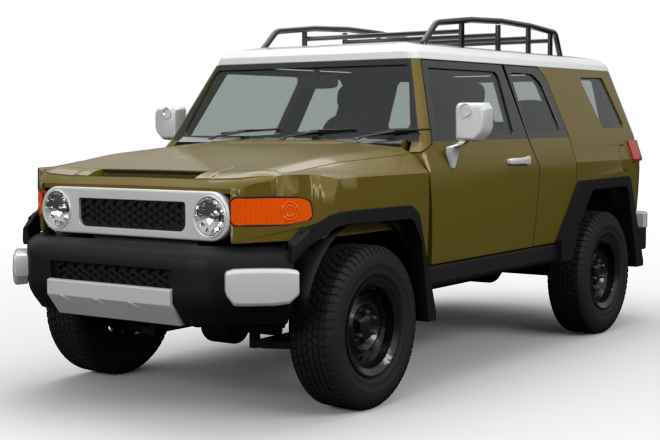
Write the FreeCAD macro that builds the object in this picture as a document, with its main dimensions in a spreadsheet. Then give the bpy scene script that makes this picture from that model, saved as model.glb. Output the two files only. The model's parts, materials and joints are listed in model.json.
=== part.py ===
"""Lifted off-road 4x4 with a ladder frame, four doors, a swing-out tailgate and a roof rack.

The vehicle's front faces -Y, its left side +X and its roof +Z. The origin is on the ground,
midway along and across the vehicle. All lengths are in millimetres.
"""
import FreeCAD
import Part
import Sketcher
import math
import os

Vector = FreeCAD.Vector
Rotation = FreeCAD.Rotation

SIZES = {
    # overall lengths and wheels
    "wheel_base": 2690, "front_overhang": 850, "rear_overhang": 1130, "track": 1605,
    "tyre_radius": 392, "tyre_width": 256, "bead_radius": 214, "rim_lip_radius": 236,
    "rim_width": 212, "hub_radius": 78, "stud_circle_radius": 69.85, "lug_count": 6,
    "vent_count": 10, "vent_radius": 15,
    # body form, heights each above the one before
    "body_width": 1830, "sill_rise": 138, "side_height": 577, "shoulder_height": 153,
    "glasshouse_height": 430, "roof_rise": 110, "belt_inset": 50, "eaves_inset": 230,
    "sill_inset": 20, "rear_corner_radius": 320, "panel_gap": 6, "door_thickness": 80,
    "frame_thickness": 46, "panel_thickness": 28, "roof_thickness": 40, "glass_thickness": 5,
    "roof_cap_thickness": 22,
    # nose
    "hood_lip_height": 682, "hood_rear_height": 876, "surround_width": 1196,
    "surround_height": 223, "surround_depth": 42, "lamp_spread": 970, "lamp_radius": 95,
    "mesh_width": 680, "mesh_height": 136, "mesh_bar": 5, "mesh_pitch": 34,
    "grille_centre_rise": 552, "turn_lamp_height": 122,
    # bumpers and cladding
    "bumper_height": 330, "bumper_rise": 73, "bumper_thickness": 90, "guard_thickness": 22,
    "guard_height": 160, "skid_width": 780, "lower_mesh_width": 770, "lower_mesh_height": 92,
    "flare_stand": 32, "cladding_height": 105,
    # rack, spare wheel and chassis
    "rack_tube_radius": 18, "rack_half_width": 555, "rack_height": 165, "rail_height": 110,
    "rail_width": 70, "rail_spread": 740, "spare_rise": 660, "spare_gap": 68,
    "steering_wheel_radius": 190, "driver_offset": 385, "seat_width": 520,
    "mirror_width": 185, "mirror_height": 200,
}

doc = FreeCAD.newDocument("off_road_4x4")


class Size:
    """A length held both as millimetres and as the expression that the document keeps."""

    def __init__(self, value, text):
        self.value = value
        self.text = text

    def join(self, other, sign, value, swapped=False):
        first, second = (words(other), self.text) if swapped else (self.text, words(other))
        return Size(value, f"({first} {sign} {second})")

    def __add__(self, other):
        return self.join(other, "+", self.value + number(other))

    def __radd__(self, other):
        return self.join(other, "+", number(other) + self.value, True)

    def __sub__(self, other):
        return self.join(other, "-", self.value - number(other))

    def __rsub__(self, other):
        return self.join(other, "-", number(other) - self.value, True)

    def __mul__(self, other):
        return self.join(other, "*", self.value * number(other))

    def __rmul__(self, other):
        return self.join(other, "*", number(other) * self.value, True)

    def __truediv__(self, other):
        return self.join(other, "/", self.value / number(other))

    def __neg__(self):
        return Size(-self.value, f"(0 - {self.text})")


def number(length):
    """Return a length in millimetres."""
    return length.value if isinstance(length, Size) else float(length)


def words(length):
    """Return a length as the text of an expression."""
    return length.text if isinstance(length, Size) else repr(float(length))


def bind(item, path, length):
    """Tie one property to the sheet."""
    item.setExpression(path, words(length))


class Sheet:
    """The spreadsheet of driving dimensions, read by name."""

    def __init__(self, sizes):
        self.page = doc.addObject("Spreadsheet::Sheet", "sizes")
        for row, (alias, value) in enumerate(sizes.items(), start=1):
            self.page.set(f"A{row}", alias)
            self.page.set(f"B{row}", str(value))
            self.page.setAlias(f"B{row}", alias)
            setattr(self, alias, Size(float(value), f"sizes.{alias}"))


size = Sheet(SIZES)
doc.recompute()

# Planes of sketches: rotation, the direction in which a pad grows and the offset's sign.
PLANES = {
    "XY": (Rotation(), Vector(0, 0, 1), 1, "z"),
    "XZ": (Rotation(Vector(1, 0, 0), 90), Vector(0, -1, 0), -1, "y"),
    "YZ": (Rotation(Vector(1, 1, 1), 120), Vector(1, 0, 0), 1, "x"),
}


def draw_outline(sketch, corners, closed=True):
    """Draw a polygon through bound corners, each (a, b) or (a, b, rounding radius)."""
    places = [Vector(number(c[0]), number(c[1]), 0) for c in corners]
    count = len(corners)
    radii = [number(c[2]) if len(c) > 2 else 0.0 for c in corners]
    if not closed:
        radii[0] = radii[-1] = 0.0
    rounds = {}
    for i in range(count):
        if radii[i] <= 0:
            continue
        back = (places[i - 1] - places[i]).normalize()
        ahead = (places[(i + 1) % count] - places[i]).normalize()
        half = math.acos(max(-1.0, min(1.0, back.dot(ahead)))) / 2
        reach = radii[i] / math.tan(half)
        middle = (back + ahead).normalize()
        centre = places[i] + middle * (radii[i] / math.sin(half))
        enter = places[i] + back * reach
        leave = places[i] + ahead * reach
        rounds[i] = (enter, leave, centre, back.cross(ahead).z < 0)
    edges = count if closed else count - 1
    lines = []
    for i in range(edges):
        follow = (i + 1) % count
        start = rounds[i][1] if i in rounds else places[i]
        end = rounds[follow][0] if follow in rounds else places[follow]
        lines.append(sketch.addGeometry(Part.LineSegment(start, end)))
    rules = []
    bonds = []

    def hold(geometry, position, corner):
        for kind, length in (("DistanceX", corner[0]), ("DistanceY", corner[1])):
            bonds.append((len(rules), length))
            rules.append(Sketcher.Constraint(kind, -1, 1, geometry, position, number(length)))

    for i in range(count):
        before = lines[i - 1] if closed or i > 0 else None
        after = lines[i] if i < edges else None
        if i not in rounds:
            if before is not None and after is not None:
                rules.append(Sketcher.Constraint("Coincident", before, 2, after, 1))
            if after is not None:
                hold(after, 1, corners[i])
            else:
                hold(before, 2, corners[i])
            continue
        enter, leave, centre, left_turn = rounds[i]
        point = sketch.addGeometry(Part.Point(places[i]), True)
        hold(point, 1, corners[i])
        first, last = (enter, leave) if left_turn else (leave, enter)
        low = math.atan2(first.y - centre.y, first.x - centre.x)
        high = math.atan2(last.y - centre.y, last.x - centre.x)
        if high < low:
            high += 2 * math.pi
        circle = Part.Circle(centre, Vector(0, 0, 1), radii[i])
        arc = sketch.addGeometry(Part.ArcOfCircle(circle, low, high))
        start, end = (1, 2) if left_turn else (2, 1)
        rules.append(Sketcher.Constraint("PointOnObject", point, 1, before))
        rules.append(Sketcher.Constraint("PointOnObject", point, 1, after))
        rules.append(Sketcher.Constraint("Tangent", before, 2, arc, start))
        rules.append(Sketcher.Constraint("Tangent", after, 1, arc, end))
        bonds.append((len(rules), corners[i][2]))
        rules.append(Sketcher.Constraint("Radius", arc, radii[i]))
    first_rule = len(sketch.Constraints)
    sketch.addConstraint(rules)
    for index, length in bonds:
        bind(sketch, f"Constraints[{first_rule + index}]", length)


def draw_circle(sketch, across, up, radius):
    """Draw a circle with a bound centre and radius."""
    centre = Vector(number(across), number(up), 0)
    ring = sketch.addGeometry(Part.Circle(centre, Vector(0, 0, 1), number(radius)))
    first_rule = len(sketch.Constraints)
    sketch.addConstraint([
        Sketcher.Constraint("DistanceX", -1, 1, ring, 3, centre.x),
        Sketcher.Constraint("DistanceY", -1, 1, ring, 3, centre.y),
        Sketcher.Constraint("Radius", ring, number(radius)),
    ])
    for step, length in enumerate((across, up, radius)):
        bind(sketch, f"Constraints[{first_rule + step}]", length)


def free_sketch(name, plane, place):
    """Make a sketch outside any body, at a bound distance along its plane's axis."""
    sketch = doc.addObject("Sketcher::SketchObject", name)
    turn, along, sign, letter = PLANES[plane]
    sketch.Placement = FreeCAD.Placement(along * (sign * number(place)), turn)
    bind(sketch, f"Placement.Base.{letter}", place)
    return sketch


def prism(name, plane, low, high, *outlines):
    """Extrude closed outlines from low to high along the plane's axis."""
    sketch = free_sketch(name + "_outline", plane, low)
    for corners in outlines:
        draw_outline(sketch, corners)
    solid = doc.addObject("Part::Extrusion", name)
    solid.Base = sketch
    solid.DirMode = "Custom"
    turn, along, sign, letter = PLANES[plane]
    solid.Dir = along * sign
    bind(solid, "LengthFwd", high - low)
    solid.Solid = True
    return solid


def loft(name, plane, stations, ruled=True):
    """Skin closed outlines, each given with its place along the plane's axis."""
    sections = []
    for index, (place, corners) in enumerate(stations):
        sketch = free_sketch(f"{name}_station_{index}", plane, place)
        draw_outline(sketch, corners)
        sections.append(sketch)
    skin = doc.addObject("Part::Loft", name)
    skin.Sections = sections
    skin.Solid = True
    skin.Ruled = ruled
    return skin


def cut(name, base, *tools):
    """Cut tools from a base, one after another."""
    for index, tool in enumerate(tools):
        last = index == len(tools) - 1
        step = doc.addObject("Part::Cut", name if last else f"{name}_cut_{index}")
        step.Base = base
        step.Tool = tool
        base = step
    return base


def common(name, *shapes):
    """Keep what several shapes share."""
    base = shapes[0]
    for index, shape in enumerate(shapes[1:], start=1):
        last = index == len(shapes) - 1
        step = doc.addObject("Part::Common", name if last else f"{name}_common_{index}")
        step.Base = base
        step.Tool = shape
        base = step
    return base


def fuse(name, *shapes):
    """Join shapes into one."""
    joined = doc.addObject("Part::MultiFuse", name)
    joined.Shapes = list(shapes)
    return joined


def group(name, *shapes):
    """Hold like pieces of one body together as separate solids."""
    held = doc.addObject("Part::Compound", name)
    held.Links = list(shapes)
    return held


def mirrored(name, source, normal=Vector(1, 0, 0)):
    """Copy a piece to the vehicle's other side."""
    copy = doc.addObject("Part::Mirroring", name)
    copy.Source = source
    copy.Normal = normal
    return copy


def both_sides(name, left):
    """Hold a left piece and its mirrored copy as one node."""
    return group(name, left, mirrored(name + "_right_side", left))


def cylinder(name, radius, length, place, direction=Vector(0, 0, 1)):
    """Make a bound cylinder from a place along a direction."""
    drum = doc.addObject("Part::Cylinder", name)
    bind(drum, "Radius", radius)
    bind(drum, "Height", length)
    drum.Placement = FreeCAD.Placement(Vector(), Rotation(Vector(0, 0, 1), direction))
    for letter, coordinate in zip("xyz", place):
        bind(drum, f"Placement.Base.{letter}", coordinate)
    return drum


class Piece:
    """A PartDesign body built from sketches on its own origin planes."""

    def __init__(self, name):
        self.name = name
        self.body = doc.addObject("PartDesign::Body", name)
        self.steps = 0

    def sketch(self, plane, place):
        """Make a sketch on an origin plane, moved along its axis to a bound place."""
        self.steps += 1
        sketch = self.body.newObject("Sketcher::SketchObject", f"{self.name}_sketch_{self.steps}")
        role = f"{plane}_Plane"
        support = [f for f in self.body.Origin.OriginFeatures if f.Role == role][0]
        sketch.AttachmentSupport = (support, "")
        sketch.MapMode = "FlatFace"
        turn, along, sign, letter = PLANES[plane]
        bind(sketch, "AttachmentOffset.Base.z", place * sign)
        return sketch

    def feature(self, kind, sketch):
        """Add a feature that works on a sketch."""
        self.steps += 1
        step = self.body.newObject(f"PartDesign::{kind}", f"{self.name}_{kind.lower()}_{self.steps}")
        step.Profile = sketch
        return step

    def straight(self, kind, plane, low, high, outlines, circles):
        near = high if plane == "XZ" else low
        far_side = kind == "Pocket"
        sketch = self.sketch(plane, near)
        for corners in outlines:
            draw_outline(sketch, corners)
        for across, up, radius in circles:
            draw_circle(sketch, across, up, radius)
        step = self.feature(kind, sketch)
        step.Reversed = far_side
        bind(step, "Length", high - low)
        return step

    def pad(self, plane, low, high, *outlines, circles=()):
        """Add material between two places along the plane's axis."""
        return self.straight("Pad", plane, low, high, outlines, circles)

    def pocket(self, plane, low, high, *outlines, circles=()):
        """Take material away between two places along the plane's axis."""
        return self.straight("Pocket", plane, low, high, outlines, circles)

    def turned(self, kind, plane, place, corners, across_axis):
        """Turn an outline about the sketch's horizontal or vertical axis."""
        sketch = self.sketch(plane, place)
        draw_outline(sketch, corners)
        step = self.feature(kind, sketch)
        step.ReferenceAxis = (sketch, ["H_Axis" if across_axis else "V_Axis"])
        step.Angle = 360
        return step

    def pipe(self, plane, place, route, radius):
        """Sweep a round bar along an open route."""
        spine = self.sketch(plane, place)
        draw_outline(spine, route, closed=False)
        doc.recompute()
        self.steps += 1
        ring = self.body.newObject("Sketcher::SketchObject", f"{self.name}_ring_{self.steps}")
        ring.AttachmentSupport = (spine, "Edge1")
        ring.MapMode = "NormalToEdge"
        draw_circle(ring, 0, 0, radius)
        step = self.feature("AdditivePipe", ring)
        step.Spine = (spine, [f"Edge{i + 1}" for i in range(len(spine.Shape.Edges))])
        return step

    def soften(self, kind, amount, chosen):
        """Round or bevel the edges that a test picks."""
        doc.recompute()
        base = self.body.Tip
        names = [f"Edge{i}" for i, edge in enumerate(base.Shape.Edges, start=1) if chosen(edge)]
        self.steps += 1
        step = self.body.newObject(f"PartDesign::{kind}", f"{self.name}_{kind.lower()}_{self.steps}")
        step.Base = (base, names)
        bind(step, "Radius" if kind == "Fillet" else "Size", amount)
        return step

    def around(self, feature, count, plane_role):
        """Repeat a feature round an origin axis."""
        self.steps += 1
        pattern = self.body.newObject("PartDesign::PolarPattern", f"{self.name}_round_{self.steps}")
        pattern.Originals = [feature]
        axis = [f for f in self.body.Origin.OriginFeatures if f.Role == plane_role][0]
        pattern.Axis = (axis, [""])
        pattern.Angle = 360
        bind(pattern, "Occurrences", count)
        self.body.Tip = pattern
        return pattern


def box(name, x, y, z):
    """Make a bound block between low and high places on each axis."""
    block = doc.addObject("Part::Box", name)
    for side, letter, (low, high) in zip(("Length", "Width", "Height"), "xyz", (x, y, z)):
        bind(block, side, high - low)
        bind(block, f"Placement.Base.{letter}", low if isinstance(low, Size) else float(low))
    return block


nodes = {}


def keep(node, shape, place=None):
    """Name a finished sub-part, and move it if it was built about its own centre."""
    if place is not None:
        for letter, coordinate in zip("xyz", place):
            bind(shape, f"Placement.Base.{letter}", coordinate)
    shape.Label = node
    nodes[node] = shape
    return shape


# Places along the vehicle.
half_length = (size.front_overhang + size.wheel_base + size.rear_overhang) / 2
front_end = -half_length
rear_end = half_length
front_axle = front_end + size.front_overhang
rear_axle = rear_end - size.rear_overhang
half_width = size.body_width / 2
wheel_x = size.track / 2
axle_z = size.tyre_radius
sill_z = axle_z + size.sill_rise
crease_z = sill_z + size.side_height
belt_z = crease_z + size.shoulder_height
eaves_z = belt_z + size.glasshouse_height
roof_z = eaves_z + size.roof_rise
gap = size.panel_gap
nose_y = front_axle - 675
door_bottom_z = sill_z + size.cladding_height + gap
body_tail_y = rear_end - size.tyre_width - size.spare_gap
hood_end_y = front_axle + 491
screen_foot_y = front_axle + 550
screen_head_y = front_axle + 742
far = 1200
grille_z = axle_z + size.grille_centre_rise
outer_face_x = half_width + size.flare_stand


def cabin_form(name, side_inset, front_inset, tail_inset):
    """Stack plan outlines into the passenger cabin's shape, drawn inwards by three insets."""
    levels = (
        # height, inset of the side, front edge, inset of the tail, rear corner's radius
        (sill_z, size.sill_inset, hood_end_y, 60, size.rear_corner_radius),
        (crease_z, 0, hood_end_y, 0, size.rear_corner_radius),
        (belt_z - 50, size.belt_inset * 0.7, hood_end_y + 4, 6, size.rear_corner_radius * 0.96),
        (belt_z, size.belt_inset, screen_foot_y - 8, 12, size.rear_corner_radius * 0.9),
        (eaves_z, size.eaves_inset, screen_head_y, 110, size.rear_corner_radius * 0.55),
    )
    stations = []
    for height, inset, front, tail, corner in levels:
        side = half_width - inset - side_inset
        ahead = front + front_inset
        behind = body_tail_y - tail - tail_inset
        stations.append((height, (
            (-side, ahead, 40), (side, ahead, 40), (side, behind, corner), (-side, behind, corner),
        )))
    return loft(name, "XY", stations)


def roof_form(name, inset, drop):
    """Stack plan outlines into the crowned roof, drawn inwards and down."""
    levels = (
        (0, 0, 0, 110, 0.55), (0.36, 14, 6, 118, 0.55), (0.72, 60, 40, 170, 0.5),
        (0.93, 190, 170, 330, 0.45), (1, 380, 420, 640, 0.4),
    )
    stations = []
    for share, side_inset, front_inset, tail, corner in levels:
        side = half_width - size.eaves_inset - side_inset - inset
        front = screen_head_y + front_inset + inset
        behind = body_tail_y - tail - inset
        turn = size.rear_corner_radius * corner
        height = eaves_z + (size.roof_rise - drop) * share
        stations.append((height, ((-side, front, 60), (side, front, 60), (side, behind, turn),
                                  (-side, behind, turn))))
    return loft(name, "XY", stations)


def nose_form(name, inset):
    """Skin cross sections along the hood and front wings, drawn inwards by an inset."""
    rise = size.hood_rear_height - size.hood_lip_height
    stations = []
    for along, crease, gap_x, gap_up, crown_up, share in (
            (0, -70, 745, -38, -14, 0), (45, -22, 745, -6, 14, 0.12), (110, 0, 742, 2, 18, 0.27),
            (600, 0, 772, -18, 8, 0.62), (1170, 0, 845, -80, -36, 1)):
        centre = axle_z + size.hood_lip_height + rise * share
        side = half_width - inset
        top = centre - inset
        crease_up = crease_z + crease - inset * 0.3
        stations.append((nose_y + along, (
            (-side + size.sill_inset, sill_z + 40), (side - size.sill_inset, sill_z + 40),
            (side, crease_up), (side - 26, crease_up + 24 - inset * 0.5),
            (gap_x - inset * 0.4, top + gap_up), (gap_x - 85, top + crown_up), (360, top - 2),
            (0, top), (-360, top - 2), (85 - gap_x, top + crown_up),
            (inset * 0.4 - gap_x, top + gap_up), (26 - side, crease_up + 24 - inset * 0.5),
            (-side, crease_up),
        )))
    skin = loft(name + "_skin", "XZ", stations)
    plan = prism(name + "_plan", "XY", sill_z, roof_z, (
        (-620 + inset * 0.5, nose_y + inset, 120), (620 - inset * 0.5, nose_y + inset, 120),
        (890 - inset, nose_y + 190, 160), (half_width - inset, nose_y + 360, 160),
        (half_width - inset, hood_end_y + 10), (inset - half_width, hood_end_y + 10),
        (inset - half_width, nose_y + 360, 160), (inset - 890, nose_y + 190, 160),
    ))
    return common(name, skin, plan)


# Outlines in side view, as (along, up) pairs.
def front_flare_outline():
    return (
        (front_axle - 655, axle_z + 404.3), (front_axle - 655, axle_z + 452), (front_axle - 392, axle_z + 555, 60),
        (front_axle - 302, axle_z + 567, 60), (front_axle + 286, axle_z + 565, 50),
        (front_axle + 358, axle_z + 518, 50), (front_axle + 511, axle_z + 16), (front_axle + 511, axle_z - 25),
        (front_axle + 440, axle_z - 25), (front_axle + 434, axle_z + 30), (front_axle + 372, axle_z + 390, 60),
        (front_axle + 296, axle_z + 499, 60), (front_axle - 264, axle_z + 512, 60),
        (front_axle - 355, axle_z + 502, 60), (front_axle - 560, axle_z + 404.3),
    )


def front_arch_outline():
    return (
        (front_axle - 700, sill_z - 200), (front_axle - 700, axle_z + 420), (front_axle - 655, axle_z + 452),
        (front_axle - 392, axle_z + 555, 60), (front_axle - 302, axle_z + 567, 60),
        (front_axle + 286, axle_z + 565, 50), (front_axle + 358, axle_z + 518, 50),
        (front_axle + 511, axle_z + 16), (front_axle + 511, sill_z - 200),
    )


def rear_flare_outline():
    return (
        (rear_axle - 716, sill_z), (rear_axle - 716, axle_z + 264), (rear_axle - 440, axle_z + 606, 50),
        (rear_axle + 320, axle_z + 606, 50), (rear_axle + 551, axle_z + 30), (rear_axle + 551, axle_z - 2),
        (rear_axle + 440, axle_z - 2), (rear_axle + 430, axle_z + 60), (rear_axle + 276, axle_z + 545, 60),
        (rear_axle - 274, axle_z + 545, 60), (rear_axle - 480, axle_z + 330, 60), (rear_axle - 560, sill_z),
    )


def rear_arch_outline():
    return (
        (rear_axle - 716, sill_z - 200), (rear_axle - 716, axle_z + 264), (rear_axle - 440, axle_z + 606, 50),
        (rear_axle + 320, axle_z + 606, 50), (rear_axle + 551, axle_z + 30), (rear_axle + 551, sill_z - 200),
    )


def split_line(shift):
    """Return the bowed line between the doors, from the bottom up, moved along by a shift."""
    start = front_axle + 1672
    return [
        (start + shift, door_bottom_z), (start + 44 + shift, axle_z + 540),
        (start + 62 + shift, axle_z + 683), (start + 17 + shift, belt_z - 10),
        (start + 28 + shift, eaves_z - gap),
    ]


def front_door_outline(grow, rear_shift):
    """Return the front door's outline, grown on all sides, with its rear edge moved."""
    top_z = eaves_z - gap + grow
    rear = [list(corner) for corner in split_line(rear_shift)]
    rear[0][1] = rear[0][1] - grow
    rear[-1][1] = rear[-1][1] + grow
    return [
        (front_axle + 541 - grow, door_bottom_z - grow), (front_axle + 524 - grow, axle_z + 580),
        (front_axle + 500 - grow, belt_z - 58 + grow), (front_axle + 606 - grow, belt_z - 16 + grow),
        (front_axle + 797 - grow, top_z),
    ] + [tuple(corner) for corner in reversed(rear)]


def rear_door_outline(grow, front_shift):
    """Return the rear access door's outline, grown on all sides, with its front edge moved."""
    top_z = eaves_z - gap + grow
    front = [list(corner) for corner in split_line(front_shift)]
    front[0][1] = front[0][1] - grow
    front[-1][1] = front[-1][1] + grow
    return [tuple(corner) for corner in front] + [
        (rear_axle - 535 + grow, top_z, 40), (rear_axle - 470 + grow, axle_z + 1230, 60),
        (rear_axle - 448 + grow, belt_z), (rear_axle - 454 + grow, axle_z + 612),
        (rear_axle - 724 + grow, axle_z + 266), (rear_axle - 724 + grow, door_bottom_z - grow),
    ]


FRONT_WINDOW = (
    (front_axle + 668, belt_z + 4, 20), (front_axle + 1532, belt_z + 22, 25),
    (front_axle + 1612, eaves_z - 46, 40), (front_axle + 836, eaves_z - 46, 25),
)
REAR_WINDOW = (
    (front_axle + 1712, belt_z + 26, 20), (rear_axle - 530, belt_z + 36, 30),
    (rear_axle - 560, eaves_z - 100, 80), (rear_axle - 640, eaves_z - 50, 60),
    (front_axle + 1772, eaves_z - 46, 30),
)
QUARTER_WINDOW = (
    (rear_axle + 100, belt_z + 50, 25), (rear_axle + 462, belt_z + 52, 30),
    (rear_axle + 400, eaves_z - 46, 30), (rear_axle + 30, eaves_z - 52, 30),
)


def side_prism(name, outline):
    """Extrude a side-view outline out through the left wall."""
    return prism(name, "YZ", half_width - size.eaves_inset - 160, half_width + 200, outline)


def tapered_prism(name, outer, inner):
    """Skin a door outline that changes from its outer face to its inner face."""
    return loft(name, "YZ", ((half_width - size.eaves_inset - 160, inner), (half_width + 40, outer)))


# Shared forms of the body's walls.
outer_skin = cabin_form("cabin_outer", 0, 0, 0)
wall_inside = cabin_form("cabin_inner", size.door_thickness, -60, size.door_thickness)
frame_inside = cabin_form(
    "cabin_frame_inner", size.frame_thickness, size.frame_thickness, size.frame_thickness)
glass_outside = cabin_form("glass_outer", 9, 9, 9)
glass_depth = 9 + size.glass_thickness
glass_inside = cabin_form("glass_inner", glass_depth, glass_depth, glass_depth)
below_belt = box("below_belt", (-far, far * 1.0), (-half_length, half_length), (sill_z - 60, belt_z))
lower_hollow = common("lower_hollow", wall_inside, below_belt)
wall = cut("cabin_wall", outer_skin, fuse("cabin_hollow", lower_hollow, cut(
    "upper_hollow", frame_inside, below_belt)))
pane = cut("pane_layer", glass_outside, glass_inside)


def make_nose():
    """Build the hood and the front wings from the same skin, split at the hood's gap."""
    shell = cut("nose_shell", nose_form("nose_outer", 0), nose_form("nose_inner", size.panel_thickness))

    def hood_plan(grow):
        return (
            (-752 - grow, nose_y + 14 - grow), (752 + grow, nose_y + 14 - grow),
            (744 + grow, nose_y + 110), (774 + grow, nose_y + 600), (816 + grow, hood_end_y - gap + grow),
            (-816 - grow, hood_end_y - gap + grow), (-774 - grow, nose_y + 600), (-744 - grow, nose_y + 110),
        )

    bottom = axle_z + 640
    surround_space = box("surround_space", (-720, 720.0), (nose_y - 50, nose_y + 45),
                         (grille_z - 200, grille_z + size.surround_height / 2 + gap))
    scoop = prism("scoop_slot", "XY", bottom, roof_z, (
        (-330, nose_y + 136, 8), (330, nose_y + 136, 8), (350, nose_y + 164, 8), (-350, nose_y + 164, 8)))
    hood = cut("hood_panel", common("hood_skin", shell, prism("hood_plan", "XY", bottom, roof_z, hood_plan(0))),
               surround_space, scoop)
    ribs = []
    for side in (-1, 1):
        ribs.append(box(f"hood_rib_{side + 1}", (side * 330.0 - 20, side * 330.0 + 20), (nose_y + 260, hood_end_y - 60),
                        (axle_z + 640, roof_z)))
    under = common("hood_rib_layer", fuse("hood_ribs", *ribs), cut(
        "rib_layer", nose_form("rib_top", size.panel_thickness - 1), nose_form("rib_bottom", size.panel_thickness + 14)))
    keep("hood", fuse("hood_whole", hood, under))

    door_side = front_door_outline(gap, 0)
    wing_side = prism("wing_side", "YZ", 300, outer_face_x + 10, [
        (nose_y - 10, axle_z + 400), (nose_y - 10, roof_z), (hood_end_y - 2, roof_z),
        (hood_end_y - 2, belt_z - 40), door_side[2], door_side[1], door_side[0],
        (hood_end_y - 60, door_bottom_z - gap),
    ])
    opening = prism("surround_opening", "XZ", nose_y - 40, nose_y + 60, (
        (-far, grille_z - size.surround_height / 2), (size.surround_width / 2, grille_z - size.surround_height / 2),
        (size.surround_width / 2, grille_z + size.surround_height / 2), (-far, grille_z + size.surround_height / 2)))
    lamp = prism("turn_lamp_side", "YZ", size.surround_width / 2, outer_face_x, (
        (nose_y - 40, axle_z + 516), (nose_y + 120, axle_z + 516, 20), (nose_y + 196, axle_z + 540, 25),
        (nose_y + 186, axle_z + 516 + size.turn_lamp_height, 40), (nose_y - 40, axle_z + 516 + size.turn_lamp_height)))
    arch = side_prism("front_arch", front_arch_outline())
    wing = cut("front_wing", common("wing_skin", shell, wing_side), prism(
        "hood_gap", "XY", bottom, roof_z, hood_plan(gap)), opening, lamp, arch)
    wing_mount = box("wing_mount", (790, half_width - 18), (hood_end_y - 70, hood_end_y + 10), (axle_z + 500, axle_z + 530))
    keep("fenders", both_sides("front_wings", fuse("front_wing_mounted", wing, wing_mount)))
    keep("turn_lamps", both_sides("turn_lamp_pair", common("turn_lamp", shell, lamp)))


def make_mesh(name, width, low, high, front, corner):
    """Build one pressed mesh: a plate pierced by staggered lozenges inside a plain border."""
    wide = number(width) / 2
    bottom, top, face = number(low), number(high), number(front)
    pitch = number(size.mesh_pitch)
    bar = number(size.mesh_bar)
    plate = Part.makeBox(2 * wide, 10, top - bottom, Vector(-wide, face, bottom))
    if corner:
        depthwise = [edge for edge in plate.Edges if edge.BoundBox.YLength > 9]
        plate = plate.makeFillet(corner, [edge for edge in depthwise if edge.BoundBox.ZMax < bottom + 1])
        depthwise = [edge for edge in plate.Edges if edge.BoundBox.YLength > 9]
        plate = plate.makeFillet(14, [edge for edge in depthwise if edge.BoundBox.ZMin > top - 1
                                      and edge.BoundBox.XLength < 0.1])
    rows = max(3, int((top - bottom) / (pitch * 0.62)))
    step = (top - bottom - 2 * bar) / (rows + 1)
    columns = int((wide - bar) / pitch)
    holes = []
    for row in range(rows):
        up = bottom + bar + (row + 1) * step
        for column in range(-columns, columns + 1):
            if (column + row) % 2:
                continue
            across = column * pitch
            half = pitch - bar
            tall = step - bar * 0.6
            if abs(across) + half > wide - bar or (corner and row == 0 and abs(across) + half > wide - corner):
                continue
            lozenge = [Vector(across + half, face, up), Vector(across + half * 0.3, face, up + tall),
                       Vector(across - half * 0.3, face, up + tall), Vector(across - half, face, up),
                       Vector(across - half * 0.3, face, up - tall), Vector(across + half * 0.3, face, up - tall)]
            lozenge.append(lozenge[0])
            holes.append(Part.Face(Part.makePolygon(lozenge)).extrude(Vector(0, 10, 0)))
    mesh = doc.addObject("Part::Feature", name)
    mesh.Shape = plate.cut(Part.makeCompound(holes))
    return mesh


def make_grille():
    """Build the silver surround with its mesh and round lamps."""
    front = nose_y - 8
    back = front + size.surround_depth
    low = grille_z - size.surround_height / 2
    high = grille_z + size.surround_height / 2
    wide = size.surround_width / 2
    round_end = size.surround_height / 2 - 1
    surround = Piece("surround")
    surround.pad("XZ", front, back, (
        (-wide, low, round_end), (wide, low, round_end), (wide, high, round_end), (-wide, high, round_end)))
    surround.soften("Fillet", 10, lambda edge: edge.BoundBox.YMax < number(front) + 0.1)
    mesh_wide = size.mesh_width / 2
    mesh_low = grille_z - size.mesh_height / 2 - 8
    mesh_high = grille_z + size.mesh_height / 2 - 8
    surround.pocket("XZ", front - 5, back + 5, (
        (-mesh_wide, mesh_low, 40), (mesh_wide, mesh_low, 40), (mesh_wide, mesh_high, 14), (-mesh_wide, mesh_high, 14)),
        circles=((-size.lamp_spread / 2, grille_z, size.lamp_radius), (size.lamp_spread / 2, grille_z, size.lamp_radius)))
    keep("grille_surround", surround.body)

    lower_low = axle_z + 228
    meshes = [
        make_mesh("upper_mesh", size.mesh_width, mesh_low, mesh_high, front + 16, 40),
        make_mesh("lower_mesh", size.lower_mesh_width, lower_low, lower_low + size.lower_mesh_height, front_end + 52, 0),
    ]
    keep("grille_mesh", group("mesh_pair", *meshes))

    lamps = []
    for name, side in (("lamp_left", 0.5), ("lamp_right", -0.5)):
        lamp = Piece(name)
        rim = size.lamp_radius
        lamp.turned("Revolution", "YZ", 0, (
            (front + 70, 0), (front - 6, 0), (front - 4, rim * 0.5), (front + 6, rim - 6), (front + 12, rim - 0.3),
            (front + 46, rim - 0.3), (front + 70, rim * 0.6)), True)
        keep(name, lamp.body, (size.lamp_spread * side, 0, grille_z))
        lamps.append(nodes.pop(name))
    keep("headlamps", group("headlamp_pair", *lamps))


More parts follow.
